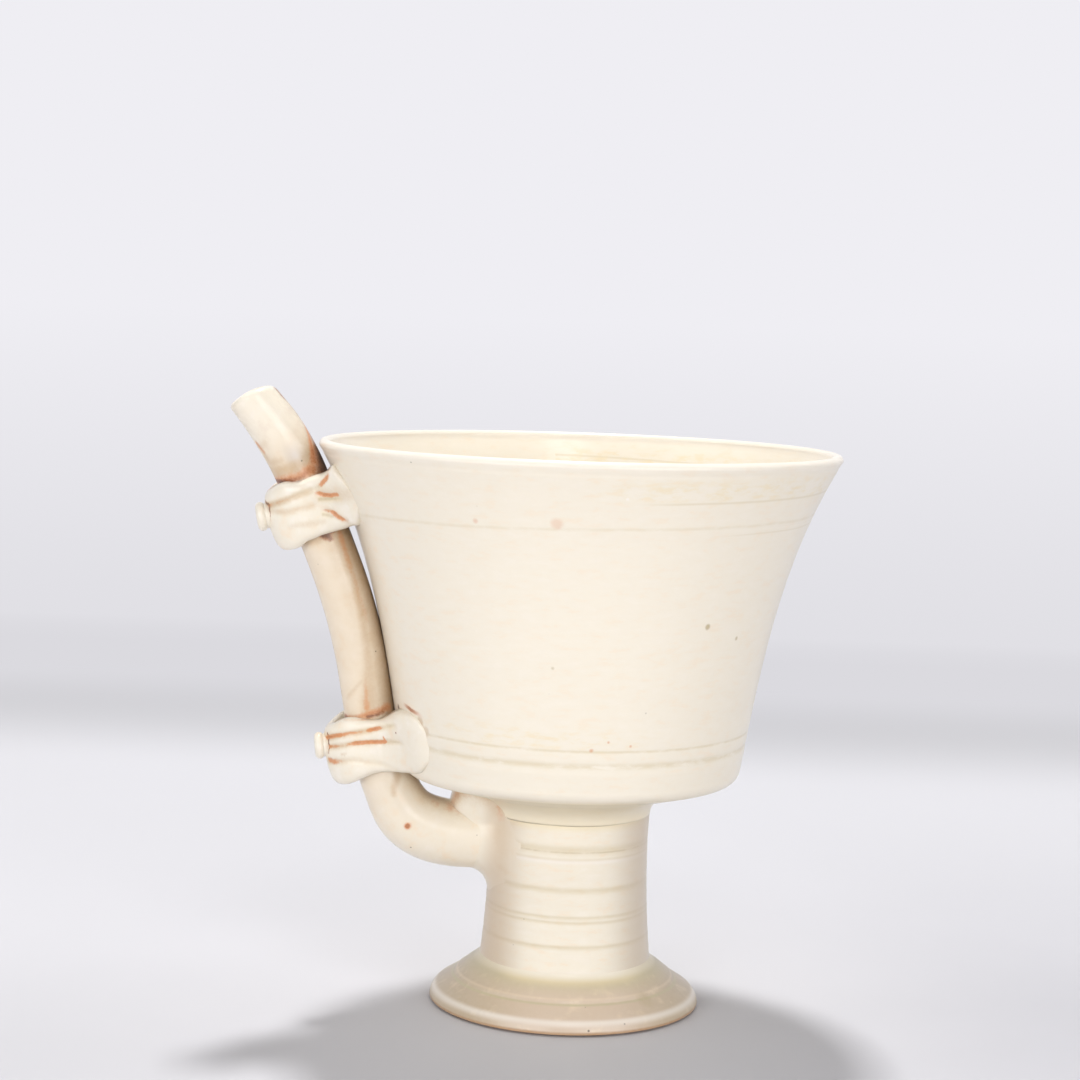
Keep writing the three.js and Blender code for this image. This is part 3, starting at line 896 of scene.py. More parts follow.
@dataclass(frozen=True)
class Stem:
    """The thrown hollow stem, in millimetres."""

    levels: Levels
    waist_radius: float = 15.5
    waist_above_foot: float = 21.6
    top_spread: float = 0.25
    bottom_spread: float = 1.2
    wall: float = 3.2
    sink: float = 0.35
    shoulder_round: float = 0.5
    port_radius: float = 2.3
    port_reach: Span = (8.0, 22.0)
    port_sides: int = 32
    wheel: Wheel = Wheel(wobble=0.07, ring_height=0.018, ring_pitch=2.7, seed=8.0)

    def lines(self) -> tuple[TurnedLine, ...]:
        """The lines that the tool left, from the foot up."""
        foot = self.levels.foot_top
        return (
            TurnedLine(foot + 5.6, 0.30, 0.035),
            TurnedLine(foot + 10.3, 0.22, 0.02),
            TurnedLine(foot + 11.3, 0.25, 0.035),
            TurnedLine(foot + 16.5, 0.40, 0.055),
            TurnedLine(foot + 22.4, 0.22, 0.02),
            TurnedLine(foot + 24.25, 0.6, 0.075),
        )

    def radius(self, z: Union[float, Array]) -> Array:
        """Outer radius of the stem at some heights, without its lines.

        Args:
            z: The heights in millimetres.

        Returns:
            The radius at each.
        """
        rise = z - self.levels.foot_top - self.waist_above_foot
        upper = self.levels.stem_top - self.levels.foot_top - self.waist_above_foot
        spread = np.where(rise > 0, self.top_spread, self.bottom_spread)
        run = np.where(rise > 0, upper, self.waist_above_foot)
        return self.waist_radius + spread * (rise / run) ** 2

    def profile(self) -> Outline:
        """The stem's outside up from inside the foot's cove, and its bore back down."""
        low, high, corner = self.levels.foot_top - self.sink, self.levels.stem_top, self.shoulder_round
        rows = rows_with_lines(low, high - corner, 0.5, self.lines())
        outside = list(zip(self.radius(rows) - line_depth(rows, self.lines()), rows))
        shoulder = arc((float(self.radius(high)) - corner, high - corner), corner, 10.0, 90.0, 5)
        bore = self.waist_radius - self.wall
        heights = (high - 0.3, 0.5 * (high + low), low + 0.1, low)
        inside = [(bore + 0.3, high), *((bore, z) for z in heights)]
        return [*outside, *shoulder, *inside, outside[0]]

    def build(self, trees: GeometryTrees, material: Glaze, port_height: float) -> Piece:
        """Turns the stem and bores the port that the drinking tube opens into.

        Args:
            trees: The geometry node trees.
            material: The stem's glaze.
            port_height: Height of the port's middle, in millimetres.

        Returns:
            The stem.
        """
        stem = turned_piece("glazed_stem", self.profile(), self.wheel, trees, material)
        sides = self.port_sides
        angles = np.linspace(0.0, FULL_TURN, sides, endpoint=False)
        ring = self.port_radius * np.stack([np.cos(angles), np.sin(angles)], axis=1)
        points = np.array([(-x, y, port_height + z) for x in self.port_reach for y, z in ring])
        ends = [list(range(sides)), list(range(2 * sides - 1, sides - 1, -1))]
        drill = mesh_piece("port_drill", points, ends + grid_faces(2, sides), material, {})
        cut = stem.modifiers.new("port", "BOOLEAN")
        cut.operation = "DIFFERENCE"
        cut.solver = "EXACT"
        cut.object = drill
        bored = evaluated_mesh(stem)
        stem.modifiers.clear()
        stem.data = bored
        bpy.data.objects.remove(drill, do_unlink=True)
        return stem


@dataclass(frozen=True)
class Bowl:
    """The thrown bowl, in millimetres."""

    levels: Levels
    neck_radius: float = 15.79
    neck_cove: float = 4.4
    neck_lap: float = 0.9
    neck_sink: float = 0.19
    underside_height: float = 9.1
    underside_slope: float = 15.4
    corner_radius: float = 32.9
    corner_round: float = 2.6
    band_above_corner: float = 3.2
    band_half_width: float = 0.7
    band_height: float = 0.07
    lip_flare: float = 7.6
    lip_flare_power: float = 3.25
    wall: float = 2.8
    lip_thickness: float = 2.2
    floor: float = 3.7
    floor_round: float = 4.0
    drain_radius: float = 3.0
    drain_round: float = 0.8
    bore_radius: float = 12.3
    wheel: Wheel = Wheel(sides=288, wobble=0.1, ring_height=0.014, ring_pitch=4.3, sway=0.2, seed=5.0)

    @property
    def corner_z(self) -> float:
        """Height of the turned corner above the stem."""
        return self.levels.stem_top + self.underside_height

    @property
    def lip_centre(self) -> float:
        """Height of the middle of the rounded lip."""
        return self.levels.rim - 0.5 * self.lip_thickness

    def wall_radius(self, z: Union[float, Array]) -> Union[float, Array]:
        """Outer radius of the wall, carried on straight below the corner.

        Args:
            z: A height or heights in millimetres.

        Returns:
            The radius at each.
        """
        share = (z - self.corner_z) / (self.lip_centre - self.corner_z)
        taper = self.levels.rim_radius - self.lip_flare - self.corner_radius
        flare = self.lip_flare * np.maximum(share, 0.0) ** self.lip_flare_power
        return self.corner_radius + taper * share + flare

    def under_z(self, radius: Array) -> Array:
        """Height of the underside at a radius outside the neck's cove.

        Args:
            radius: The radii in millimetres.

        Returns:
            The height at each.
        """
        slope = math.radians(self.underside_slope)
        foot = self.corner_z - self.corner_round * math.cos(slope)
        edge = self.corner_radius - self.corner_round + self.corner_round * math.sin(slope)
        return foot + (radius - edge) * math.tan(slope)

    def lines(self) -> tuple[TurnedLine, ...]:
        """The lines that the tool left on the wall, from the corner up."""
        corner, rim = self.corner_z, self.levels.rim
        return (
            TurnedLine(corner + 5.15, 0.55, 0.08),
            TurnedLine(corner + 7.85, 0.3, 0.035),
            TurnedLine(rim - 12.2, 0.2, 0.012),
            TurnedLine(rim - 2.3, 0.4, 0.07),
        )

    def profile(self) -> Outline:
        """The bowl's outside from its seat to the lip, then its inside, drain and chamber."""
        stem_top, neck, lap = self.levels.stem_top, self.neck_radius, self.neck_lap
        slope = math.radians(self.underside_slope)
        corner_middle = (self.corner_radius - self.corner_round, self.corner_z)
        corner = arc(corner_middle, self.corner_round, self.underside_slope - 90.0, 0.0, 14)
        cove_radius = neck + self.neck_cove
        cove_z = corner[0][1] - (corner[0][0] - cove_radius) * math.tan(slope)
        cove_start = (neck - self.neck_sink, stem_top - lap)
        arrive = (cove_radius - 2.4 * math.cos(slope), cove_z - 2.4 * math.sin(slope))
        leave = (neck + 0.05, stem_top + 1.7)
        cove = cubic((neck, stem_top - 0.5 * lap), leave, arrive, (cove_radius, cove_z), 22)
        radii = np.linspace(cove_radius, corner[0][0], 16)[1:-1]
        cone = zip(radii, cove_z + (radii - cove_radius) * math.tan(slope))
        rows = rows_with_lines(self.corner_z, self.lip_centre, 0.75, self.lines())[1:]
        off_band = (rows - self.corner_z - self.band_above_corner) / self.band_half_width
        band = self.band_height * np.exp(-(off_band**2))
        wall = zip(self.wall_radius(rows) - line_depth(rows, self.lines()) + band, rows)
        lip_radius = 0.5 * self.lip_thickness
        lip = arc((self.levels.rim_radius - lip_radius, self.lip_centre), lip_radius, 10.0, 180.0, 16)
        floor_corner = self.corner_radius - self.wall - self.floor_round
        floor_z = cove_z + self.floor
        round_z = floor_z + (floor_corner - cove_radius) * math.tan(slope) + self.floor_round
        heights = np.linspace(self.lip_centre, round_z, 60)[1:]
        share = (heights - self.corner_z) / (self.lip_centre - self.corner_z)
        thickness = self.wall + (self.lip_thickness - self.wall) * share
        inside = zip(self.wall_radius(heights) - thickness, heights)
        bend = arc((floor_corner, round_z), self.floor_round, 0.0, -75.0, 12)[1:]
        drain, rounding = self.drain_radius, self.drain_round
        level = [(r, floor_z) for r in np.linspace(cove_radius, drain + 0.9, 10)]
        drain_lip = arc((drain + rounding, floor_z - rounding), rounding, 90.0, 180.0, 6)
        roof = self.bore_radius - 0.5 * (cove_z - stem_top)
        under = [(drain, cove_z + 0.4), (drain + 0.4, cove_z), (roof * 0.6, cove_z), (roof, cove_z)]
        chamber = [(self.bore_radius, stem_top), (self.bore_radius + 0.4, stem_top)]
        seat = [(neck - 0.3, stem_top), (neck - 0.3, stem_top - 0.8 * lap), cove_start]
        outside = [cove_start, *cove, *cone, *corner, *wall, *lip]
        return [*outside, *inside, *bend, *level, *drain_lip, *under, *chamber, *seat]

    def build(self, trees: GeometryTrees, material: Glaze) -> Piece:
        """Turns the bowl."""
        return turned_piece("glazed_bowl", self.profile(), self.wheel, trees, material)


# The cup's hand-rolled pieces


@dataclass(frozen=True)
class Scrape:
    """The flat that was scraped on the tube above the upper strap: its place, depth and reach."""

    along: float = 91.5
    turn: float = 0.71
    depth: float = 0.22
    half_length: float = 4.6
    half_turn: float = 0.1


@dataclass(frozen=True)
class TubeSizes:
    """The hand-rolled drinking tube, in millimetres."""

    radius: float = 4.93
    bore_radius: float = 2.3
    root_radius: float = 6.5
    root_thinning: float = 0.62
    root_below_stem_top: float = 5.8
    root_run: float = 3.4
    root_handle: float = 13.9
    elbow_handle: float = 12.0
    elbow_lean: float = 13.0
    elbow_squeeze: float = 0.8
    elbow_squeeze_late: float = 1.9
    elbow_points: int = 101
    standoff_low: float = 0.4
    standoff_high: float = 2.3
    standoff_share: Span = (0.3, 1.1)
    stations: tuple[float, ...] = (0.0, 0.2, 0.42, 0.66, 1.0, 1.17)
    run_points: int = 211
    mouth_run: float = 16.7
    mouth_lean: float = 34.7
    mouth_radius: float = 4.6
    mouth_round: float = 1.05
    mouth_taper: float = 11.0
    mouth_wear: float = 0.045
    mouth_wear_from: float = 1.9
    mouth_wear_run: Span = (9.0, 0.4)
    outer_skin: Span = (3.2, 3.8)
    mouth_shift: float = 0.6
    mouth_hollow: float = 0.35
    lower_strap_above_corner: float = 3.2
    upper_strap_below_rim: float = 12.9
    seat_radius: float = 4.75
    sides: int = 128
    wobble: float = 0.08
    seed: float = 2.0
    scrape: Scrape = Scrape()


class DrinkingTube:
    """The drinking tube: its middle line, its rings and its mesh."""

    def __init__(self, bowl: Bowl, stem: Stem, sizes: TubeSizes = TubeSizes()) -> None:
        """Works out the middle line from the bowl and the stem that it runs between."""
        self.bowl = bowl
        self.stem = stem
        self.sizes = sizes
        self.root_z = bowl.levels.stem_top - sizes.root_below_stem_top
        self.stem_radius = float(stem.radius(self.root_z))
        self.lower_z = bowl.corner_z + sizes.lower_strap_above_corner
        self.upper_z = bowl.levels.rim - sizes.upper_strap_below_rim
        self.line = self._line()
        steps = np.linalg.norm(np.diff(self.line, axis=0), axis=1)
        self.along = np.concatenate([[0.0], np.cumsum(steps)])

    def _beside_bowl(self, share: float) -> Array:
        """A point of the line by its share of the way between the straps.

        Args:
            share: 0 at the lower strap and 1 at the upper one.

        Returns:
            Distance from the cup's axis and height.
        """
        z = self.lower_z + (self.upper_z - self.lower_z) * share
        gap = self.sizes.standoff_low
        gap += (self.sizes.standoff_high - gap) * float(smoothstep(share, *self.sizes.standoff_share))
        return np.array([float(self.bowl.wall_radius(z)) + gap + self.sizes.seat_radius, z])

    def _line(self) -> Array:
        """The middle line as distance from the cup's axis and height."""
        sizes = self.sizes
        stations = [self._beside_bowl(s) for s in sizes.stations]
        root_start = np.array([self.stem_radius - 0.5 * self.stem.wall, self.root_z])
        root_end = np.array([self.stem_radius + sizes.root_run, self.root_z])
        elbow_way, mouth_way = (
            np.array([math.sin(lean), math.cos(lean)])
            for lean in (math.radians(sizes.elbow_lean), math.radians(sizes.mouth_lean))
        )
        handles = (root_end + (sizes.root_handle, 0.0), stations[0] - sizes.elbow_handle * elbow_way)
        elbow = cubic(root_end, *handles, stations[0], sizes.elbow_points)
        t = np.linspace(0.0, 1.0, sizes.elbow_points)
        elbow[:, 0] -= sizes.elbow_squeeze * np.sin(np.pi * t**sizes.elbow_squeeze_late) ** 2
        mouth = stations[-1] + sizes.mouth_run * mouth_way
        middle = 0.5 * (stations[-1] + mouth) - (sizes.mouth_shift + sizes.mouth_hollow, 0.0)
        stations[-1] = stations[-1] - (0.6 * sizes.mouth_shift, 0.0)
        knots = [*stations, middle, mouth - (0.5 * sizes.mouth_shift, 0.0)]
        root = [root_start + (root_end - root_start) * s for s in (0.0, 0.25, 0.5, 0.75)]
        run = [self._between(knots, s) for s in np.linspace(0.0, len(knots) - 1.0, sizes.run_points)[1:]]
        return np.vstack([root, elbow, run])

    @staticmethod
    def _between(knots: list[Array], place: float) -> Array:
        """A point on the smooth curve through some knots.

        Args:
            knots: The knots.
            place: How many knots the point is past the first.

        Returns:
            The point.
        """
        i = min(int(place), len(knots) - 2)
        t = place - i
        before, here, after = knots[max(i - 1, 0)], knots[i], knots[i + 1]
        beyond = knots[min(i + 2, len(knots) - 1)]
        leave, arrive = 0.5 * (after - before), 0.5 * (beyond - here)
        bend = 2 * here - 2 * after + leave + arrive
        return bend * t**3 + (-3 * here + 3 * after - 2 * leave - arrive) * t**2 + leave * t + here

    def direction(self, i: int) -> Array:
        """Direction of the line at one of its points, away from the stem."""
        step = self.line[min(i + 1, len(self.line) - 1)] - self.line[max(i - 1, 0)]
        return step / np.linalg.norm(step)

    def radius_at(self, i: int) -> float:
        """Outer radius at one of the line's points.

        Args:
            i: The point's number.

        Returns:
            The radius.
        """
        sizes = self.sizes
        rise = float(np.clip((self.line[i][1] - self.root_z) / (self.lower_z - self.root_z), 0.0, 1.0))
        thinning = float(smoothstep(rise**sizes.root_thinning, 0.0, 1.0))
        to_mouth = 1.0 - float(smoothstep(self.along[-1] - self.along[i], 0.0, sizes.mouth_taper))
        root = sizes.root_radius + (sizes.radius - sizes.root_radius) * thinning
        return root + (sizes.mouth_radius - sizes.radius) * to_mouth

    def seat_at(self, z: float) -> tuple[Array, Array]:
        """The seat of a strap.

        Args:
            z: Its height in millimetres.

        Returns:
            Its centre, and the tube's direction there without the hand's unevenness.
        """
        i = int(np.argmax(self.line[:, 1] >= z))
        before, here = self.line[i - 1][1], self.line[i][1]
        share = (z - before) / (here - before)
        way = self.direction(i - 1) * (1.0 - share) + self.direction(i) * share
        share = (z - self.lower_z) / (self.upper_z - self.lower_z)
        run = self._beside_bowl(share + 0.1) - self._beside_bowl(share - 0.1)
        lean = 0.5 * (run / np.linalg.norm(run)) + 0.5 * (way / np.linalg.norm(way))
        return self._beside_bowl(share), lean / np.linalg.norm(lean)

    def worked(self, piece: Piece, strokes: Strokes) -> Piece:
        """Wears the mouth's inner side down, scrapes a flat above the upper strap and lays the stains and
        painted shade.

        Args:
            piece: The tube as rolled.
            strokes: Its stains and painted shade, by distance along and share of a turn.

        Returns:
            The tube with all three.
        """
        sizes, scrape, mesh = self.sizes, self.sizes.scrape, piece.data
        count = len(mesh.vertices)
        points = np.empty(count * 3)
        mesh.vertices.foreach_get("co", points)
        points = points.reshape(-1, 3) / MM
        along, turn = np.empty((2, count), dtype=np.float32)
        mesh.attributes["along_mm"].data.foreach_get("value", along)
        mesh.attributes["turn"].data.foreach_get("value", turn)
        end, way = self.line[-1], self.direction(len(self.line) - 1)
        outward, up = np.array([-way[1], 0.0, -way[0]]), np.array([-way[0], 0.0, way[1]])
        from_end = points - [-end[0], 0.0, end[1]]
        inward = np.maximum(sizes.mouth_wear_from - from_end @ outward, 0.0)
        worn_from, worn_to = (self.along[-1] - left for left in sizes.mouth_wear_run)
        near_end = smoothstep(along, worn_from, worn_to)
        points -= up * (sizes.mouth_wear * inward**2 * near_end)[:, None]
        off = np.hypot((along - scrape.along) / scrape.half_length, (turn - scrape.turn) / scrape.half_turn)
        middle_x = np.interp(along, self.along, -self.line[:, 0])
        middle_z = np.interp(along, self.along, self.line[:, 1])
        spoke = points - np.stack([middle_x, np.zeros(count), middle_z], axis=1)
        reach = np.linalg.norm(spoke, axis=1)
        cut = scrape.depth * (1.0 - smoothstep(off, 0.2, 1.1)) * smoothstep(reach, *sizes.outer_skin)
        points -= spoke / np.maximum(reach, 0.1)[:, None] * cut[:, None]
        mesh.vertices.foreach_set("co", (points * MM).ravel())
        for name, amount in painted(strokes, along, turn, FULL_TURN * sizes.radius).items():
            carry(mesh, name, amount)
        mesh.update()
        return piece

    def rings(self) -> list[tuple[Array, Array, float, float]]:
        """Centre, outward direction, radius and distance along, for each ring in turn."""
        sizes, last = self.sizes, len(self.line) - 1
        left = self.along[last] - self.along
        outside = [i for i in range(last + 1) if left[i] > sizes.mouth_round]
        rings = [(self.line[i], self.direction(i), self.radius_at(i), self.along[i]) for i in outside]
        end, way = self.line[last], self.direction(last)
        half_wall = 0.5 * (sizes.mouth_radius - sizes.bore_radius)
        for a in np.linspace(0.0, math.pi, 17):
            back = sizes.mouth_round * (1.0 - math.sin(a))
            reach = sizes.bore_radius + half_wall + half_wall * math.cos(a)
            rings.append((end - way * back, way, reach, self.along[last] - back))
        inside = [i for i in range(last, -1, -1) if left[i] > 1.5 * sizes.mouth_round and i % 3 == 0]
        rings += [(self.line[i], self.direction(i), sizes.bore_radius, self.along[i]) for i in inside]
        return [*rings, rings[0]]

    def build(self, trees: GeometryTrees, material: Glaze, strokes: Strokes) -> Piece:
        """Rolls the tube with its rounded mouth and its bore.

        Args:
            trees: The geometry node trees.
            material: The tube's glaze.
            strokes: Its stains and painted shade, by distance along and share of a turn.

        Returns:
            The tube.
        """
        rings = self.rings()
        mesh = bpy.data.meshes.new("tube_line")
        mesh.from_pydata([(-centre[0] * MM, 0.0, centre[1] * MM) for centre, *_ in rings], [], [])
        carry(mesh, "reach", [reach * MM for _, _, reach, _ in rings])
        carry(mesh, "along", [along * MM for *_, along in rings])
        carry(mesh, "outward", [(-way[1], 0.0, -way[0]) for _, way, _, _ in rings], "FLOAT_VECTOR")
        inputs = {
            "Sides": self.sizes.sides,
            "Rows": len(rings),
            "Wobble": self.sizes.wobble * MM,
            "Seed": self.sizes.seed,
            "Material": material,
        }
        return self.worked(shaped_piece("glazed_drinking_tube", mesh, trees.rolled, inputs), strokes)


@dataclass(frozen=True)
class RootCollar:
    """The coil worked into the angle between the tube and the stem, in millimetres."""

    tube: DrinkingTube
    along: float = 4.4
    up: float = 4.9
    web: float = 7.7
    web_fill: float = 6.5
    web_angles: Span = (0.42, 0.97)
    roof_sink: float = 0.35
    inside: float = -1.4
    sides: int = 160
    steps: int = 44

    def build(self, material: Glaze, strokes: Strokes) -> Piece:
        """A hollow curve that runs from the tube's skin out onto the stem and the bowl.

        Args:
            material: The collar's glaze.
            strokes: Its stains, by distance from the stem and share of a turn.

        Returns:
            The collar.
        """
        inner = self.tube.sizes.root_radius
        angles = np.linspace(0.0, FULL_TURN, self.sides, endpoint=False)
        upward = smoothstep(np.cos(angles), *self.web_angles)
        span = self.along + (self.web - self.along) * upward
        rings = []
        for t in np.linspace(0.0, 1.0, self.steps + 1):
            round_off, round_up = 1.0 - math.sin(0.5 * math.pi * t), 1.0 - math.cos(0.5 * math.pi * t)
            fill = 1.0 - (1.0 - t) ** self.web_fill
            off = span * (round_off * (1.0 - upward) + (1.0 - t) * upward) - 0.03 * t
            rings.append((off, inner - 0.05 + self.up * (round_up * (1.0 - upward) + fill * upward)))
        hidden = np.full(self.sides, self.inside)
        rings += [(hidden, inner + self.up - 0.6), (hidden, inner - 1.0), rings[0]]
        points = np.vstack([self._row(off, out, angles) for off, out in rings])
        turns = np.tile(angles / FULL_TURN, len(rings))
        offs = np.concatenate([off for off, _ in rings])
        amounts = painted(strokes, offs, turns, FULL_TURN * (inner + 1.0))
        return mesh_piece("glazed_root_collar", points, grid_faces(len(rings), self.sides), material, amounts)

    def _row(self, off: Array, out: Union[float, Array], angles: Array) -> Array:
        """One ring of the collar, at distances off the stem and out from the tube's line.

        Args:
            off: Distance off the stem at each angle.
            out: Distance out from the tube's line.
            angles: The angles round the tube's line.

        Returns:
            The ring's points, three columns.
        """
        stem, bowl, stem_radius = self.tube.stem, self.tube.bowl, self.tube.stem_radius
        y, z = out * np.sin(angles), self.tube.root_z + out * np.cos(angles)
        face = np.sqrt(np.maximum(stem_radius**2 - y**2, 0.0)) + (stem.radius(z) - stem_radius)
        x = -(face + off)
        roof = bowl.under_z(np.hypot(x, y)) + self.roof_sink
        return np.stack([x, y, np.minimum(z, roof)], axis=1)


@dataclass(frozen=True)
class Crease:
    """A crease pressed into a strap: points of (distance along, height across, iron stain)."""

    depth: float
    width: float
    pool: float
    points: tuple[tuple[float, float, float], ...]


@dataclass(frozen=True)
class Dip:
    """A fingertip's dip in a strap: distance along, height across, its reach and depth."""

    along: float
    across: float
    reach: float
    depth: float


@dataclass(frozen=True)
class StrapSizes:
    """One clay strap, in millimetres, measured over its face from its outermost point."""

    slack: float
    reach: float
    belly: float
    leave: float
    arrive: float
    arrive_angle: float
    button_radius: float
    button_thickness: float
    button_rise: float
    button_tilt: float
    top: tuple[Point, ...]
    bottom: tuple[Point, ...]
    creases: tuple[Crease, ...]
    dips: tuple[Dip, ...]
    strokes: Strokes
    bulge: float = 0.02
    thickness: float = 2.5
    ring_radius: float = 4.75
    ring_gap: float = 0.12
    inner_leave: float = 2.5
    web_bend: float = 2.4
    web_start: float = 1.2
    web_full: float = 4.0
    far_drop_start: float = 8.0
    far_drop_full: float = 13.0
    cap_length: float = 0.9
    far_drop: float = 0.9
    button_foot: float = 1.2
    across: int = 64
    step: float = 0.15


class Strap:
    """A ribbed clay band round the tube, with its two pads on the bowl."""

    HALVINGS = 34
    LOOP_POINTS = 60
    WEB_POINTS = 81
    INSIDE_BOWL = -60.0

    def __init__(self, name: str, tube: DrinkingTube, height: float, sizes: StrapSizes) -> None:
        """Sets the strap's own frame: u away from the bowl, v along Y, w up the tube."""
        self.name = name
        self.tube = tube
        self.sizes = sizes
        self.centre, self.way = tube.seat_at(height)

    def place(self, u: Array, v: Array, w: Array) -> Array:
        """Turns strap coordinates into the cup's own, in millimetres.

        Args:
            u: Distance away from the bowl.
            v: Distance along Y.
            w: Distance up the tube.

        Returns:
            The points, with x, y and z in a last dimension.
        """
        x = -(self.centre[0] + u * self.way[1] + w * self.way[0])
        z = self.centre[1] - u * self.way[0] + w * self.way[1]
        return np.stack(np.broadcast_arrays(x, v, z), axis=-1)

    def wall_beside(self, v: Array, w: Array) -> Array:
        """Where the bowl's wall lies, as u, beside the tube.

        Args:
            v: Distances along Y.
            w: Distances up the tube.

        Returns:
            The wall's u at each.
        """
        v, w = np.broadcast_arrays(v, w)
        near, far = np.full(v.shape, self.INSIDE_BOWL), np.full(v.shape, self.sizes.ring_radius)
        for _ in range(self.HALVINGS):
            middle = 0.5 * (near + far)
            p = self.place(middle, v, w)
            inside = np.hypot(p[..., 0], p[..., 1]) < self.tube.bowl.wall_radius(p[..., 2])
            near = np.where(inside, middle, near)
            far = np.where(inside, far, middle)
        return 0.5 * (near + far)

    def lines(self) -> tuple[Array, Array, Array, Array]:
        """Half of the strap's middle section, from its outermost point to its pad's end.

        Returns:
            Distance over the face, the face's points, the inside's points and the face's
            normals, all in u and v.
        """
        sizes = self.sizes
        out, side = sizes.ring_radius + sizes.slack, sizes.ring_radius + sizes.ring_gap
        angles = np.linspace(0.0, 0.5 * math.pi, self.LOOP_POINTS)[:, None]
        circle = np.hstack([np.cos(angles), np.sin(angles)])
        inner_loop = circle * [out, side]
        outer_loop = circle * [out + sizes.thickness, side + sizes.thickness]
        marks = np.array([sizes.reach, side + sizes.web_bend, sizes.reach - 0.3])
        wall = self.wall_beside(marks, np.zeros(3))
        end = np.array([wall[0] + 0.1, sizes.reach])
        turn = math.radians(sizes.arrive_angle)
        arrive = sizes.arrive * np.array([-math.cos(turn), math.sin(turn)])
        handles = (outer_loop[-1] - [sizes.leave, 0.0], end - arrive)
        outer_web = cubic(outer_loop[-1], *handles, end, self.WEB_POINTS)
        handles = (inner_loop[-1] - [sizes.inner_leave, 0.0], (wall[1] - 0.5, marks[1]))
        inner_web = cubic(inner_loop[-1], *handles, (wall[2] - 0.6, marks[2]), self.WEB_POINTS)
        outer, inner = np.vstack([outer_loop, outer_web[1:]]), np.vstack([inner_loop, inner_web[1:]])
        run = np.concatenate([[0.0], np.cumsum(np.linalg.norm(np.diff(outer, axis=0), axis=1))])
        s = np.append(np.arange(0.0, run[-1] - 0.4 * sizes.step, sizes.step), run[-1])
        face, back = (
            np.stack([np.interp(s, run, line[:, k]) for k in (0, 1)], axis=1) for line in (outer, inner)
        )
        along = np.gradient(face, axis=0)
        along /= np.linalg.norm(along, axis=1)[:, None]
        normal = np.stack([along[:, 1], -along[:, 0]], axis=1)
        normal[0] = (1.0, 0.0)
        return s, face, back, normal

    def relief(self, s: Array, w: Array) -> tuple[Array, Array, Array]:
        """The depth of the creases and dips, with the glaze's stain and pool in them.

        Args:
            s: Distance along from the outermost point.
            w: Height across.

        Returns:
            The depth in millimetres, the iron stain and the pooled glaze from 0 to 1.
        """
        depth, stain, pool = np.zeros((3, *np.broadcast(s, w).shape))
        for crease in self.sizes.creases:
            knots = np.array(crease.points, dtype=float)
            off, carried = off_line(knots, s, w)
            sharp, soft, wet = (np.exp(-((off / (k * crease.width)) ** 2)) for k in (1.0, 3.0, 1.8))
            ends = smoothstep(s, knots[0][0] - 1.5, knots[0][0] + 0.6)
            ends = ends * smoothstep(-s, -knots[-1][0] - 1.0, -knots[-1][0] + 1.6)
            depth += crease.depth * (0.6 * sharp + 0.4 * soft) * ends
            stain = np.maximum(stain, carried[..., 0] * sharp)
            pool = np.maximum(pool, crease.pool * wet * ends)
        for dip in self.sizes.dips:
            away = np.hypot(s - dip.along, w - dip.across) / dip.reach
            depth += dip.depth * np.exp(-(away**2))
        return depth, stain, pool

    def half(self, side: int) -> tuple[Array, dict[str, Array]]:
        """One half of the strap as rows of points, each row once round the section.

        Args:
            side: -1 for the half nearer the photo's viewer, 1 for the far one.

        Returns:
            The points, and what the glaze reads at each.
        """
        sizes = self.sizes
        s, face, back, normal = self.lines()
        s = s[:, None]
        face_uv, back_uv, normal_uv = (line.T[:, :, None] for line in (face, back, normal))
        even = np.linspace(0.0, 1.0, sizes.across)
        t = (0.45 * (0.5 - 0.5 * np.cos(np.pi * even)) + 0.55 * even)[None, :]
        cap = np.clip((s - (s[-1, 0] - sizes.cap_length)) / sizes.cap_length, 0.0, 1.0)
        narrow = np.sqrt(np.maximum(1.0 - cap**2, 0.0))
        drop = sizes.far_drop if side > 0 else 0.0
        drop = drop * smoothstep(s, sizes.far_drop_start, sizes.far_drop_full)
        top = along_points(sizes.top, s) - drop
        bottom = along_points(sizes.bottom, s)
        w = 0.5 * (top + bottom) + 0.5 * (top - bottom) * narrow * (1.0 - 2.0 * t)
        edge = np.maximum(1.0 - np.abs(2.0 * t - 1.0) ** 7, 0.0) ** 0.5
        depth, stain, pool = self.relief(s, w)
        squeeze = sizes.bulge * (w - sizes.belly) ** 2
        aside = face[:, 1:2] - sizes.ring_radius
        webbed = smoothstep(aside, sizes.web_start, sizes.web_full)
        meet = 0.35 * (1.0 - webbed) - 0.04 * webbed
        layers = []
        skins = ((meet + (1.0 - meet) * edge, depth * edge, 1), (meet * (1.0 - edge), 0.0, -1))
        for share, cut, order in skins:
            u, v = back_uv + (face_uv - back_uv) * share - normal_uv * cut
            u = u - squeeze * np.clip(u / (sizes.ring_radius + sizes.slack), 0.0, 1.0)
            beside = smoothstep(v, sizes.ring_radius - 0.3, sizes.ring_radius + 2.6)
            beside = beside * smoothstep(-u, -1.0, 2.5)
            u = u + beside * (self.wall_beside(v, w) - self.wall_beside(v, np.zeros_like(w)))
            layers.append(self.place(u, side * v, w)[:, ::order])
        read = {"crease": stain, "pool": pool, **painted(sizes.strokes, s, w)}
        bare_back = np.zeros_like(stain)
        read = {name: np.concatenate([amount, bare_back], axis=1) for name, amount in read.items()}
        return np.concatenate(layers, axis=1), read

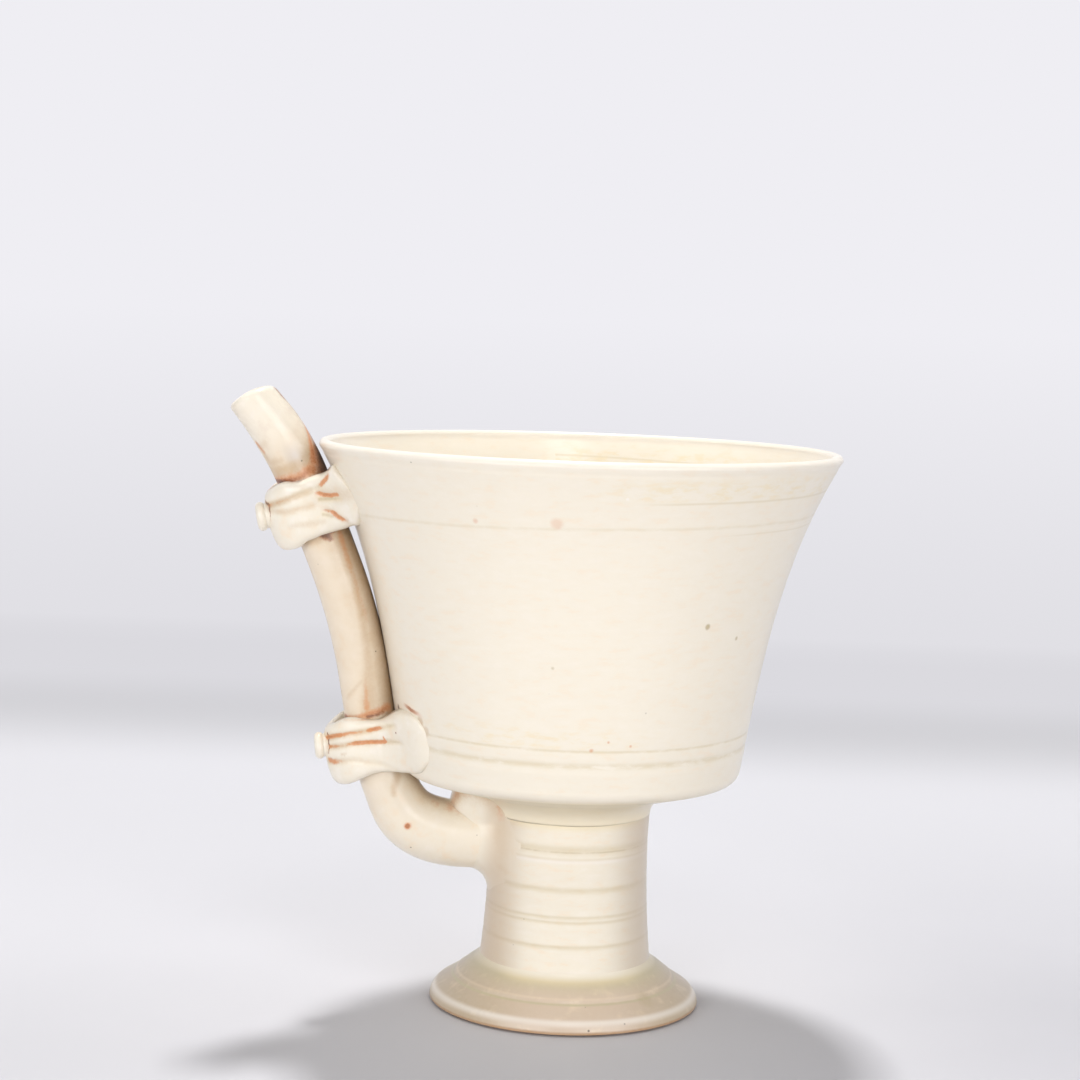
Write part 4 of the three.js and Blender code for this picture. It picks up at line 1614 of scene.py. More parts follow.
    def build(self, material: Glaze) -> Piece:
        """Lays the band and presses its creases in."""
        near, near_read = self.half(-1)
        far, far_read = self.half(1)
        points = np.concatenate([near[::-1], far[1:]], axis=0)
        read = {k: np.concatenate([near_read[k][::-1], far_read[k][1:]], axis=0) for k in near_read}
        rows, columns = points.shape[:2]
        faces = grid_faces(rows, columns)
        faces.append(list(range(columns - 1, -1, -1)))
        faces.append([(rows - 1) * columns + j for j in range(columns)])
        return mesh_piece("glazed_" + self.name, points.reshape(-1, 3), faces, material, read)

    def button(self, trees: GeometryTrees, material: Glaze) -> Piece:
        """Presses the clay button on the strap's outermost point.

        Args:
            trees: The geometry node trees.
            material: The button's glaze.

        Returns:
            The button.
        """
        sizes = self.sizes
        radius, thick = sizes.button_radius, sizes.button_thickness
        neck, edge, foot = 0.86 * radius, 0.46 * thick, -sizes.button_foot
        profile = [(0.0, foot), (neck, foot), (neck, -0.1), (neck + 0.04, 0.1 * thick)]
        profile += arc((radius - edge, thick - edge), edge, -62.0, 84.0, 14)
        profile += [(0.55 * radius, thick + 0.04), (0.3 * radius, thick + 0.06), (0.0, thick + 0.07)]
        wheel = Wheel(sides=72, wobble=0.12, ring_height=0.0, seed=1.0)
        button = turned_piece("glazed_" + self.name + "_button", profile, wheel, trees, material)
        face = sizes.ring_radius + sizes.slack + sizes.thickness - 0.1
        face -= sizes.bulge * (sizes.button_rise - sizes.belly) ** 2
        origin = self.place(np.array(face), np.array(0.0), np.array(sizes.button_rise))
        lean, rise = self.way
        tilt = math.radians(sizes.button_tilt)
        across = -rise * math.cos(tilt) - lean * math.sin(tilt)
        up = -lean * math.cos(tilt) + rise * math.sin(tilt)
        turn = Vector((across, 0.0, up)).to_track_quat("Z", "Y").to_matrix().to_4x4()
        button.data.transform(Matrix.Translation(Vector(origin * MM)) @ turn)
        return button


# Where each piece is stained, where the tube has painted shade, and the sizes of the two straps


# On the tube a turn of 0.5 faces the bowl: the brown runs there, and the tan runs just beside them, are
# partly iron stain and partly painted shade between the tube and the bowl.
TUBE_STROKES: Strokes = {
    Tint.BROWN: (
        ((38, 0.49, 5.6, 0.95), (52, 0.49, 4.6, 0.85), (64, 0.49, 4.8, 0.85), (79, 0.49, 6.4, 1)),
        ((32, 0.5, 4.8, 0.9), (24, 0.5, 3, 0.75), (15, 0.52, 2.1, 0.65), (9, 0.55, 1.6, 0.3)),
        ((86, 0.5, 6.6, 1), (91, 0.5, 4.6, 0.9), (96, 0.49, 2.2, 0.6), (105, 0.49, 1.8, 0.5)),
    ),
    Tint.TAN: (
        ((40, 0.55, 5, 0.7), (52, 0.55, 4.6, 0.6), (64, 0.55, 4.8, 0.6), (79, 0.56, 5.6, 0.9)),
        ((75.5, 0.64, 1.4, 0.8), (66, 0.67, 1.2, 0.6), (50, 0.72, 1.3, 0.6), (41, 0.76, 2.2, 0.8)),
        ((29, 0.56, 3.6, 0.6), (20, 0.57, 2.6, 0.45), (13, 0.58, 2.2, 0.45), (8, 0.6, 1.8, 0.4)),
        ((27.4, 0.68, 1.1, 0.8), (25.6, 0.73, 0.9, 0.6), (24.4, 0.75, 0.7, 0.5)),
        ((91, 0.96, 2.6, 0.9), (90.6, 0.84, 1.9, 0.8), (90, 0.70, 2, 0.75), (92.5, 0.58, 3, 0.7)),
        ((92.6, 0.82, 1.2, 0.5), (93, 0.93, 1.6, 0.7), (96.6, 0.93, 1.2, 0.5), (97.4, 0.86, 1, 0.45)),
        ((76.4, 0.70, 1.5, 0.8), (76, 0.80, 1.3, 0.7), (76, 0.93, 1.1, 0.6)),
        ((43, 0.98, 0.9, 0.6), (60, 0.98, 0.6, 0.45), (76, 0.97, 0.9, 0.6)),
        ((98, 0.53, 0.9, 0.4), (105, 0.53, 1.1, 0.5)),
        ((48, 0.74, 0.8, 0.5), (44.2, 0.90, 0.6, 0.4)),
    ),
    Tint.ORANGE: (
        ((75.5, 0.65, 0.9, 0.6), (71, 0.66, 0.8, 0.45), (64, 0.67, 0.7, 0.3), (56, 0.66, 0.7, 0.25)),
        ((47.5, 0.75, 0.5, 0.3), (44.5, 0.76, 0.6, 0.5), (42, 0.767, 0.8, 0.7)),
        ((40.4, 0.97, 0.7, 0.75), (40.3, 0.86, 0.6, 0.7), (40.9, 0.75, 0.7, 0.85), (41.3, 0.62, 1.2, 0.8)),
        ((16.8, 0.57, 1.2, 0.3), (14.4, 0.58, 1.1, 0.35)),
        ((10.6, 0.58, 1.6, 0.5), (8.4, 0.59, 1.5, 0.45), (6, 0.6, 1.2, 0.3)),
        ((89.3, 0.97, 1.3, 0.85), (88.8, 0.86, 1.2, 0.85), (88.4, 0.76, 1.1, 0.85), (88.8, 0.67, 1.3, 0.95)),
        ((89.6, 0.64, 1, 0.9), (92, 0.6, 0.75, 0.95), (94.6, 0.55, 0.6, 0.9), (97, 0.5, 0.45, 0.7)),
        ((95.8, 0.92, 0.6, 0.7), (98, 0.94, 0.7, 0.85)),
        ((18.1, 0.775, 0.52, 1.5),),
    ),
    Tint.UMBER: (
        ((85, 0.5, 6, 1), (88.6, 0.5, 5, 1), (91, 0.5, 3.6, 1), (93.6, 0.5, 1.4, 0.8)),
        ((89.2, 0.97, 0.8, 0.75), (88.6, 0.90, 0.9, 0.85), (88.2, 0.82, 0.7, 0.65), (88, 0.74, 0.5, 0.5)),
        ((103.2, 0.53, 0.7, 0.5), (106, 0.53, 0.8, 0.65)),
        ((76.8, 0.69, 0.9, 0.75), (76.4, 0.76, 0.8, 0.8), (75.4, 0.72, 0.7, 0.7)),
        ((40.3, 0.955, 0.7, 0.7), (40.2, 0.90, 0.4, 0.5)),
        ((40.3, 0.77, 0.45, 0.7), (40.4, 0.71, 0.5, 0.7), (40.8, 0.66, 0.5, 0.5)),
    ),
}
COLLAR_STROKES: Strokes = {
    Tint.ORANGE: (
        ((0.9, 0.90, 0.5, 0.3), (0.7, 0.87, 0.6, 0.5), (0.6, 0.83, 0.5, 0.35)),
        ((7.2, 0.95, 1.6, 0.5), (5.2, 0.93, 1.5, 0.35), (3.6, 0.93, 1.2, 0.2)),
    ),
    Tint.TAN: (
        ((7, 0.95, 2.6, 0.7), (4.5, 0.93, 2.2, 0.5), (1, 0.88, 1.6, 0.6)),
        ((1.6, 0.80, 1.2, 0.3), (0.8, 0.72, 1, 0.3)),
        ((0.3, 0.66, 0.8, 0.4),),
    ),
    Tint.OLIVE: (
        ((0.4, 0.80, 0.8, 0.25), (0.5, 0.70, 0.7, 0.2)),
    ),
}
LOWER_STROKES: Strokes = {
    Tint.TAN: (
        ((1.5, 2.5, 1, 0.8), (6, 3, 0.9, 0.65), (13, 3.4, 0.9, 0.65), (17, 3.9, 0.8, 0.35)),
        ((1.5, 0.7, 0.9, 0.6), (9, 1.2, 0.9, 0.6), (15, 0.9, 0.9, 0.6), (20, 0.8, 0.7, 0.3)),
        ((2, -2, 1, 0.7), (5.5, -2, 1, 0.55), (9, -1.9, 0.9, 0.4), (14, -3.4, 0.8, 0.3)),
        ((6.4, -0.6, 0.45, 0.5), (7.4, -0.5, 0.4, 0.5)),
        ((25.1, 1.6, 0.9, 0.25),),
        ((22.6, -4, 0.8, 0.25),),
    ),
    Tint.OLIVE: (
        ((14.5, 3.6, 0.5, 0.3), (17.6, 4, 0.55, 0.5), (19.5, 4.4, 0.4, 0.3)),
        ((15.8, 0.8, 0.35, 0.4), (18.2, 0.8, 0.4, 0.5), (20.6, 0.8, 0.3, 0.2)),
        ((7, -0.9, 0.3, 0.6),),
        ((27.2, -3.4, 0.35, 0.5), (26, -4.8, 0.3, 0.4)),
    ),
    Tint.UMBER: (
        ((19.1, 2.8, 0.22, 0.95),),
        ((2.4, 3.3, 0.3, 0.8), (2.8, 2.3, 0.35, 0.95), (2.8, 0.7, 0.3, 0.8), (2.5, -0.6, 0.25, 0.5)),
        ((3, 2.6, 0.25, 0.8), (5, 2.9, 0.15, 0.5)),
    ),
    Tint.ORANGE: (
        ((0.6, 4.9, 0.3, 0.4), (6, 6, 0.25, 0.35), (12, 5.4, 0.25, 0.5), (15, 5.1, 0.2, 0.3)),
    ),
}
UPPER_STROKES: Strokes = {
    Tint.TAN: (
        ((0.8, 2.9, 0.9, 0.8), (4, 3.3, 0.9, 0.75), (10.5, 3.3, 0.9, 0.7), (14, 3.3, 1, 0.5)),
        ((3, 2.3, 0.9, 0.5), (8.5, 1, 0.9, 0.55), (13, 0.5, 0.9, 0.5)),
        ((7.5, -1.6, 0.9, 0.35), (11.5, -2.4, 1, 0.5), (14, -3, 0.8, 0.4)),
        ((15.2, 2.2, 1.8, 0.6), (19.4, 1.1, 2.2, 0.55), (23, 0.4, 2.2, 0.45)),
        ((15.5, -1.5, 1.1, 0.6), (19, -4.2, 1, 0.6)),
    ),
    Tint.OLIVE: (
        ((13.4, 3.3, 0.5, 0.25), (15.6, 3.6, 0.6, 0.55), (16.8, 3.9, 0.3, 0.2)),
        ((14.8, 1.2, 0.5, 0.7), (17.2, 0.7, 0.55, 0.75), (20.2, 0.1, 0.4, 0.3)),
        ((14.4, -1.7, 0.5, 0.7), (16, -2.6, 0.45, 0.6)),
        ((16.4, 0.2, 0.4, 0.4), (17, -2, 0.4, 0.3)),
    ),
    Tint.ORANGE: (
        ((0, 5.9, 0.4, 0.75), (2, 6.1, 0.3, 0.6), (4.5, 6.35, 0.25, 0.4)),
    ),
    Tint.UMBER: (
        ((1.2, 4, 0.5, 0.8), (2.4, 3.4, 0.5, 0.9), (2.9, 1.6, 0.25, 0.6), (2.6, 0.2, 0.2, 0.4)),
    ),
}
LOWER_STRAP = StrapSizes(
    slack=2.35,
    reach=18,
    belly=-1,
    leave=3,
    arrive=4.5,
    arrive_angle=22,
    button_radius=2.6,
    button_thickness=1.95,
    button_rise=0.8,
    button_tilt=5,
    top=(
        (0, 4.9), (1.5, 5), (2.9, 5.2), (3.9, 5.5), (5.2, 5.85), (6.8, 6.15), (9.2, 6.05), (11.5, 5.5),
        (13.9, 5.05), (15.8, 5.05), (17.9, 5.6), (20.6, 6.55), (23, 6.95), (25.4, 6.6), (26.8, 5.6),
        (27.8, 3.9), (28.4, 2.3), (28.8, 1.2),
    ),
    bottom=(
        (0, -7.1), (1.5, -7.1), (3, -7.05), (4.3, -6.95), (5.6, -6.7), (7.2, -6.4), (8.4, -6.1),
        (10.3, -5.65), (12, -5.3), (13.6, -5.25), (15.8, -5.35), (18.7, -5.5), (21.3, -5.55), (24, -5.5),
        (25.4, -5.1), (26.7, -4), (27.8, -2.6), (28.4, -1), (28.8, 0),
    ),
    creases=(
        Crease(0.42, 0.42, 0.6, (
            (2, 2.5, 1), (5.2, 3, 0.95), (6.7, 3.1, 0.85), (8.5, 3.3, 0.65), (10.1, 3.3, 0.4),
            (12, 3.35, 0.3), (12.9, 3.45, 1), (14.2, 3.5, 0.95), (15.4, 3.6, 0.3), (17.4, 3.9, 0.1),
            (19.5, 4.2, 0),
        )),
        Crease(0.42, 0.4, 0.5, (
            (2, 0.7, 0.8), (4.7, 0.9, 0.6), (6.2, 1, 0.3), (8.2, 1.2, 0.55), (9.7, 1.3, 1),
            (11.8, 1.25, 1), (14.3, 0.9, 1), (15.4, 0.9, 1), (15.8, 0.9, 0.15), (20.7, 0.8, 0),
        )),
        Crease(0.05, 0.25, 0, ((15.25, 2, 0.6), (15.4, 1, 0.9))),
        Crease(0.3, 0.6, 0.35, (
            (2.2, -1.8, 0.7), (3.8, -2.1, 0.85), (5.2, -2, 0.5), (6.5, -1.9, 0.2), (8.4, -1.9, 0.1),
            (10.9, -2.5, 0), (13.1, -3.1, 0), (14.5, -3.7, 0), (16.5, -4.5, 0), (18.9, -5.1, 0),
        )),
    ),
    dips=(Dip(19.5, -1.2, 3.6, 0.55), Dip(16.8, 2.3, 1.6, 0.15)),
    strokes=LOWER_STROKES,
)
UPPER_STRAP = StrapSizes(
    slack=2,
    reach=13.3,
    belly=-2.5,
    leave=3.2,
    arrive=3.5,
    arrive_angle=28,
    button_radius=2.8,
    button_thickness=2,
    button_rise=1.4,
    button_tilt=12,
    top=(
        (0, 6), (1.3, 6.05), (2.4, 6.15), (4.2, 6.4), (6.1, 6.55), (8, 6.5), (10.4, 5.95), (11.8, 5.75),
        (13.6, 5.7), (15.7, 5.7), (17.4, 5.65), (18.7, 5.85), (19.8, 6.3), (20.7, 6.45), (21.4, 5.2),
        (22.1, 3.6), (22.8, 1.7), (23.5, -0.3),
    ),
    bottom=(
        (0, -6), (1.6, -6.1), (3.5, -6.2), (5.2, -6.2), (6.6, -6.1), (8.4, -5.6), (10.9, -5.5),
        (12.5, -5.45), (15.1, -5.65), (17.5, -5.8), (19.3, -5.7), (20.8, -5.8), (22.1, -4.4), (23, -2.8),
        (23.5, -1.4),
    ),
    creases=(
        Crease(0.45, 0.5, 0.5, (
            (0.6, 2.9, 0.5), (4.1, 3.3, 0.35), (7.6, 3.3, 0.3), (10.1, 3.4, 0.2), (11.9, 3.4, 0.1),
            (14, 3.3, 0.1), (15.3, 3.5, 0.2), (16.5, 3.85, 0.8), (18.2, 4.6, 0.95), (19, 5.1, 0.6),
        )),
        Crease(0.2, 0.7, 0.2, (
            (3, 2.3, 0.1), (6.1, 1.2, 0.1), (8.7, 1.2, 0.15), (10.9, 1, 0.2), (13, 0.7, 0.1), (14.2, 0.4, 0),
        )),
        Crease(0.36, 0.44, 0.2, (
            (14.6, 2.6, 0.4), (15.1, 2.3, 0.9), (15.9, 1.8, 1), (17.4, 1.3, 1), (19.2, 1.1, 0.8),
            (20, 0.8, 0.1),
        )),
        Crease(0.12, 0.4, 0.9, ((14.7, 1.3, 0), (16.9, 0.65, 0), (20.2, 0.1, 0))),
        Crease(0.32, 0.44, 0.2, (
            (14.4, -0.8, 0.25), (15.8, -1.6, 0.7), (16.4, -2, 1), (17.2, -3, 1), (18, -3.6, 0.9),
            (19.3, -4.3, 0.2),
        )),
        Crease(0.1, 0.4, 0.9, ((14.3, -1.6, 0), (15.8, -2.6, 0))),
    ),
    dips=(Dip(17.2, -1, 1.4, 0.28), Dip(19.5, -1.5, 1.7, 0.2), Dip(19.9, 3.4, 2.4, 0.2)),
    strokes=UPPER_STROKES,
)


# The camera, the light and the paper


@dataclass(frozen=True)
class CameraView:
    """Where the photo was taken from, in millimetres and degrees about the cup's axis."""

    distance: float = 468.3
    height: float = 135.35
    azimuth: float = VIEW_AZIMUTH
    yaw: float = -0.92
    pitch: float = 5.48
    roll: float = 1.91
    lens: float = 81.03
    sensor: float = 36.0

    def build(self) -> None:
        """Sets the camera at the photo's place."""
        yaw, pitch, roll = (math.radians(a) for a in (self.yaw, self.pitch, self.roll))
        forward = Vector((math.sin(yaw) * math.cos(pitch), math.cos(yaw) * math.cos(pitch), -math.sin(pitch)))
        right = Vector((math.cos(yaw), -math.sin(yaw), 0.0))
        up = right.cross(forward)
        tilted_right = math.cos(roll) * right + math.sin(roll) * up
        tilted_up = -math.sin(roll) * right + math.cos(roll) * up
        turn = Matrix.Rotation(math.radians(self.azimuth), 3, "Z")
        axes = Matrix((tilted_right, tilted_up, -forward)).transposed()
        data = bpy.data.cameras.new("photo_camera")
        data.lens = self.lens
        data.sensor_width = self.sensor
        data.sensor_fit = "HORIZONTAL"
        data.clip_start = 0.01
        data.clip_end = 20.0
        camera = linked("photo_camera", data)
        camera.matrix_world = (turn @ axes).to_4x4()
        camera.location = turn @ Vector((0.0, -self.distance * MM, self.height * MM))
        bpy.context.scene.camera = camera


@dataclass(frozen=True)
class Lamp:
    """A soft box: how it stands from the cup, in degrees and metres, its sides, and its light."""

    name: str
    azimuth: float
    elevation: float
    distance: float
    size: Span
    light: float
    aim_height: float = 0.05

    def build(self) -> None:
        """Hangs the lamp, at a power that lights a sheet at the cup to its stated share of white."""
        azimuth, elevation = math.radians(self.azimuth), math.radians(self.elevation)
        level = math.cos(elevation)
        away = Vector((level * math.cos(azimuth), level * math.sin(azimuth), math.sin(elevation)))
        data = bpy.data.lights.new(self.name, "AREA")
        data.shape = "RECTANGLE"
        data.size, data.size_y = self.size
        data.energy = self.light * (math.pi * self.distance) ** 2
        lamp = linked(self.name, data)
        lamp.location = Vector((0.0, 0.0, self.aim_height)) + away * self.distance
        lamp.rotation_euler = (-away).to_track_quat("-Z", "Y").to_euler()
        lamp.visible_camera = False


@dataclass(frozen=True)
class Studio:
    """The pale sweep that the cup stands on, and the light. Lengths are in metres."""

    paper: Colour = srgb(213, 212, 216)
    # Painted shade on the floor, darker near the front and at the front right.
    shaded_near_paper: Colour = srgb(202, 201, 205)
    shaded_right_paper: Colour = srgb(196, 195, 200)
    horizon: Colour = srgb(219, 218, 223)
    wall: Colour = srgb(239, 238, 243)
    unseen_wall: Colour = (0.3, 0.3, 0.3, 1.0)
    room: Colour = (0.97, 0.98, 1.0, 1.0)
    room_light: float = 0.14
    near: float = -1.6
    far: float = 0.475
    bend: float = 0.25
    height: float = 1.2
    half_width: float = 2.4
    azimuth: float = VIEW_AZIMUTH

    def build(self) -> None:
        """Lays the sweep, hangs the lamps and lights the world."""
        self._sweep()
        self._world()
        view = self.azimuth - 90.0
        for lamp in (
            Lamp("key_box", 88.6, 71.5, 1.95, (0.2, 0.2), 0.71),
            Lamp("fill_box", view + 10.5, 54.0, 1.8, (0.45, 0.45), 0.09),
            Lamp("left_front_box", view - 34.0, 13.0, 1.4, (1.1, 0.6), 0.44),
            Lamp("right_front_box", view + 34.0, 13.0, 1.4, (1.1, 0.6), 0.43),
            Lamp("left_side_box", view - 88.0, 44.0, 1.6, (1.2, 1.2), 0.2),
            Lamp("right_side_box", view + 88.0, 44.0, 1.6, (1.2, 1.2), 0.16),
        ):
            lamp.build()

    def _sweep(self) -> None:
        """The floor and backdrop as one bent sheet."""
        bend = arc((self.far, self.bend), self.bend, -90.0, 0.0, 15)
        profile = [(self.near, 0.0), *bend, (self.far + self.bend, self.height)]
        vertices = [(x, y, z) for y, z in profile for x in (-self.half_width, self.half_width)]
        faces = [(2 * i, 2 * i + 1, 2 * i + 3, 2 * i + 2) for i in range(len(profile) - 1)]
        mesh = bpy.data.meshes.new("paper_sweep")
        mesh.from_pydata(vertices, [], faces)
        for face in mesh.polygons:
            face.use_smooth = True
        mesh.materials.append(self._paper())
        sweep = linked("paper_sweep", mesh)
        sweep.rotation_euler = (0.0, 0.0, math.radians(self.azimuth))

    def _paper(self) -> bpy.types.Material:
        """Matt pale paper, with painted shade towards the front, that turns, for the camera, into a backdrop
        past the horizon.
        """
        material = bpy.data.materials.new("paper")
        graph = Graph.of(material)
        place = graph.out("ShaderNodeTexCoord", None, None, "Object")
        x, y, z = graph.parts(place)
        # Painted shade: the floor is darker towards the front and at the front right.
        tint = graph.blend(y.rise(-0.06, 0.03), self.shaded_near_paper, self.paper)
        tint = graph.blend(x.rise(0.02, 0.11) * y.rise(0.2, -0.05), tint, self.shaded_right_paper)
        tint = graph.blend(graph.noise(place, 90.0, 3.0).rise(0.4, 0.7) * 0.12, tint, self.horizon)
        past = y.rise(0.22, 0.4)
        tint = graph.blend(past, tint, self.unseen_wall)
        inputs = {"Base Color": tint, "Roughness": 0.6, "IOR": 1.3}
        shader = graph.out("ShaderNodeBsdfPrincipled", None, inputs)
        # The backdrop's glow grades from the horizon's colour up to the wall's: painted shade where the sweep
        # bends up.
        climb = graph.math("MULTIPLY_ADD", z, 5.8, 0.25).lowest(1.0).highest(0.0) * (z / 0.004).lowest(1.0)
        backdrop = graph.blend(climb, self.horizon, self.wall)
        glow = graph.out("ShaderNodeEmission", None, {"Color": backdrop, "Strength": 1.0})
        path = graph.node("ShaderNodeLightPath")
        camera, glossy = (Value(graph, path.outputs[f"Is {kind} Ray"]) for kind in ("Camera", "Glossy"))
        seen = camera.highest(glossy)
        surface = graph.out("ShaderNodeMixShader", None, {0: seen * past, 1: shader, 2: glow})
        graph.node("ShaderNodeOutputMaterial", None, {"Surface": surface})
        return material

    def _world(self) -> None:
        """An even pale world, which the camera sees as the backdrop."""
        world = bpy.data.worlds.new("pale_room")
        graph = Graph.of(world)
        light, wall = (
            graph.out("ShaderNodeBackground", None, {"Color": colour, "Strength": strength})
            for colour, strength in ((self.room, self.room_light), (self.wall, 1.0))
        )
        seen = graph.out("ShaderNodeLightPath", None, None, "Is Camera Ray")
        surface = graph.out("ShaderNodeMixShader", None, {0: seen, 1: light, 2: wall})
        graph.node("ShaderNodeOutputWorld", None, {"Surface": surface})
        bpy.context.scene.world = world


class CupGlazes:
    """The cup's glaze materials, one for each kind of piece."""

    def __init__(self, bowl: Bowl, stem: Stem, colours: GlazeColours = GlazeColours()) -> None:
        """Builds every glaze."""
        self.colours = colours
        self.bowl = self._bowl(bowl)
        self.stem = self._stem(stem)
        self.foot = self._foot()
        self.tube = self._tube()
        self.collar = self._collar()
        self.strap = self._strap()

    def _bowl(self, bowl: Bowl) -> Glaze:
        """Ivory with olive underneath, partly pooled glaze and partly painted shade, and iron in the turned
        lines.
        """
        glaze = GlazeShader("bowl_glaze", self.colours).thrown_mottle(0.42, 0.16)
        c = self.colours
        corner, rim = bowl.corner_z, bowl.levels.rim
        # Below the corner: buttery and olive, partly glaze pooled there and partly painted shade under the
        # bowl.
        under = glaze.z.rise(corner - 0.6, corner - 2.8)
        glaze.stain(under * 0.42, c.buttery)
        glaze.stain(under * glaze.z.rise(corner - 8.2, corner - 5.5) * (0.05 + 0.3 * glaze.mottle), c.pooled)
        wander = (glaze.cloud - 0.5) * 1.4 + (glaze.mottle - 0.5) * 0.25
        facing = glaze.graph.math("ARCTAN2", glaze.x, glaze.y * -1.0)
        low, second, high = (line.height for line in bowl.lines()[:3])
        for height, half_width in ((low - 0.1, 0.9), (second, 0.45)):
            broken = glaze.thrown.rise(0.25, 0.55) * 0.55
            glaze.stain(glaze.z.bell(height, half_width) * broken, c.line)
        spiral = glaze.z - facing * 0.9 - wander * 0.35 - high
        glaze.stain(spiral.bell(0.0, 0.5) * glaze.thrown.rise(0.2, 0.6) * 0.3, c.line)
        glaze.stain((spiral + 1.6).bell(0.0, 0.28) * facing.rise(0.45, 0.7) * 0.3, c.line)
        glaze.stain((spiral - 4.6).bell(0.0, 0.36) * facing.rise(0.05, 0.3) * 0.45, c.line)
        patch = glaze.z.bell(rim - 5.2, 3.2) * facing.rise(-0.15, 0.25) * glaze.thrown.rise(0.42, 0.66)
        glaze.stain(patch * 0.6, c.buttery)
        band = glaze.z.bell(low + 4.6, 3.6) * facing.bell(-0.35, 0.9) * glaze.thrown.rise(0.44, 0.68)
        glaze.stain(band * 0.5, c.buttery)
        edge = glaze.z.rise(rim - 2.2, rim - 0.6).highest(glaze.z.bell(corner - 1.6, 1.1))
        glaze.stain(edge * 0.3, c.thin)
        for angle, height, radius, colour, much in (
            (31.0, 78.6, 0.75, c.olive, 0.8),
            (-13.0, 71.0, 0.6, c.olive, 0.7),
            (44.0, 75.8, 0.6, c.olive, 0.7),
            (-14.0, 66.2, 0.28, c.speck, 0.9),
            (-1.0, 66.6, 0.25, c.speck, 0.9),
            (-45.0, 83.4, 0.3, c.speck, 0.8),
            (-38.0, 67.0, 0.25, c.speck, 0.8),
            (-30.0, 100.2, 0.35, c.olive, 0.9),
            (-12.0, 97.8, 1.5, c.orange, 0.3),
            (-31.0, 97.4, 0.8, c.orange, 0.35),
            (4.0, 57.4, 0.45, c.orange, 0.7),
            (-1.0, 55.8, 0.6, c.orange, 0.6),
            (11.0, 56.6, 0.45, c.orange, 0.6),
            (3.0, 102.6, 0.5, c.thin, 0.8),
        ):
            glaze.spot(angle, height, radius, float(bowl.wall_radius(height)), colour, much)
        smear = (glaze.z + (facing + 1.17) * 6.0 + (glaze.mottle - 0.5) * 0.8 - 59.4).bell(0.0, 0.75)
        glaze.stain(smear * facing.bell(-1.15, 0.13) * 0.75, c.orange)
        glaze.stain(smear.rise(0.3, 0.8) * facing.bell(-1.17, 0.1) * 0.85, c.rust)
        beside_pad = float(bowl.wall_radius(59.0))
        glaze.spot(-78.0, 58.6, 0.9, beside_pad, c.umber, 0.8)
        glaze.spot(-61.5, 57.5, 1.4, beside_pad, c.tan, 0.7)
        glaze.spot(-59.0, 55.8, 1.4, beside_pad, c.tan, 0.5)
        glaze.pinholes(7.0, 0.16, 0.4)
        return glaze.finish()

    def _stem(self, stem: Stem) -> Glaze:
        """Ivory with olive in the turned lines, yellow under the bowl, and painted shade on its sides."""
        glaze = GlazeShader("stem_glaze", self.colours).thrown_mottle(0.6, 0.25)
        c, top, lines = self.colours, stem.levels.stem_top, stem.lines()
        glaze.stain(glaze.z.rise(top - 2.6, top - 0.4) * 0.75, c.buttery)
        for line in lines:
            mark = glaze.z.bell(line.height, 2.4 * line.half_width)
            glaze.stain(mark * (0.3 + 0.4 * glaze.thrown), c.line)
        wide = lines[-1].height
        glaze.stain(glaze.z.bell(wide - 0.4, 0.28) * glaze.thrown.rise(0.3, 0.6) * 0.4, c.olive)
        glaze.stain(glaze.z.bell(wide - 2.2, 0.8) * 0.6, c.thin)
        # Painted shade: the stem is darker towards its ±X sides and tan on its -X side.
        glaze.stain(abs(glaze.x + 1.5).rise(7.0, 15.5) * 0.75, c.shade)
        glaze.stain(glaze.x.rise(-9.0, -15.5) * 0.4, c.tan)
        glaze.pinholes(6.0, 0.16, 0.45)
        return glaze.finish()

    def _foot(self) -> Glaze:
        """Thicker and duller than the bowl's, olive round the stem, with painted shade on its sides and bare
        clay under the edge.
        """
        glaze = GlazeShader("foot_glaze", self.colours)
        c = self.colours
        glaze.colour = c.foot_body
        # Painted shade: the side mask darkens the foot towards ±X and greys it there by the stem, while the
        # pool stays yellower at the front and back.
        side = abs(glaze.x).rise(6.0, 22.0)
        glaze.stain(side * (0.4 + 0.5 * glaze.mottle), c.foot_side_shade)
        glaze.stain(glaze.mottle.rise(0.5, 0.75) * 0.4, c.blush)
        pool = glaze.radius.rise(21.4, 17.4)
        glaze.stain(pool * (0.4 + 0.5 * glaze.cloud), c.foot_pool)
        glaze.stain(pool * glaze.radius.rise(19.6, 17.6) * side.rise(0.6, 0.1) * 0.6, c.buttery)
        by_stem = glaze.radius.rise(18.2, 16.6)
        glaze.stain(by_stem * (1.0 - 0.6 * side), c.ivory)
        glaze.stain(by_stem * side * 0.6, c.line)
        # Olive at the foot of the ledge and peach on its upper edge: partly glaze pooled and thinned at the
        # step, partly painted shade and highlight.
        glaze.stain(glaze.radius.bell(21.9, 0.5) * (0.4 + 0.5 * glaze.mottle), c.foot_pool)
        glaze.stain(glaze.radius.bell(21.05, 0.4) * 0.3, c.blush)
        glaze.stain(glaze.z.bell(2.6, 1.2) * glaze.radius.rise(24.6, 25.6) * 0.6, c.thin)
        glaze.stain(glaze.z.rise(1.15, 0.75) * (0.6 + 0.4 * glaze.mottle), c.bare_clay)
        for angle, height, radius, reach, colour, much in (
            (4.0, 1.3, 0.35, 26.2, c.speck, 0.9),
            (20.0, 2.2, 0.3, 26.0, c.umber, 0.8),
            (8.0, 4.3, 0.3, 23.6, c.umber, 0.7),
            (55.0, 4.6, 0.35, 23.4, c.rust, 0.8),
            (42.0, 3.1, 0.35, 25.4, c.rust, 0.8),
            (38.0, 5.2, 2.4, 22.6, c.olive, 0.35),
        ):
            glaze.spot(angle, height, radius, reach, colour, much)
        glaze.pinholes(5.0, 0.16, 0.5)
        return glaze.finish()

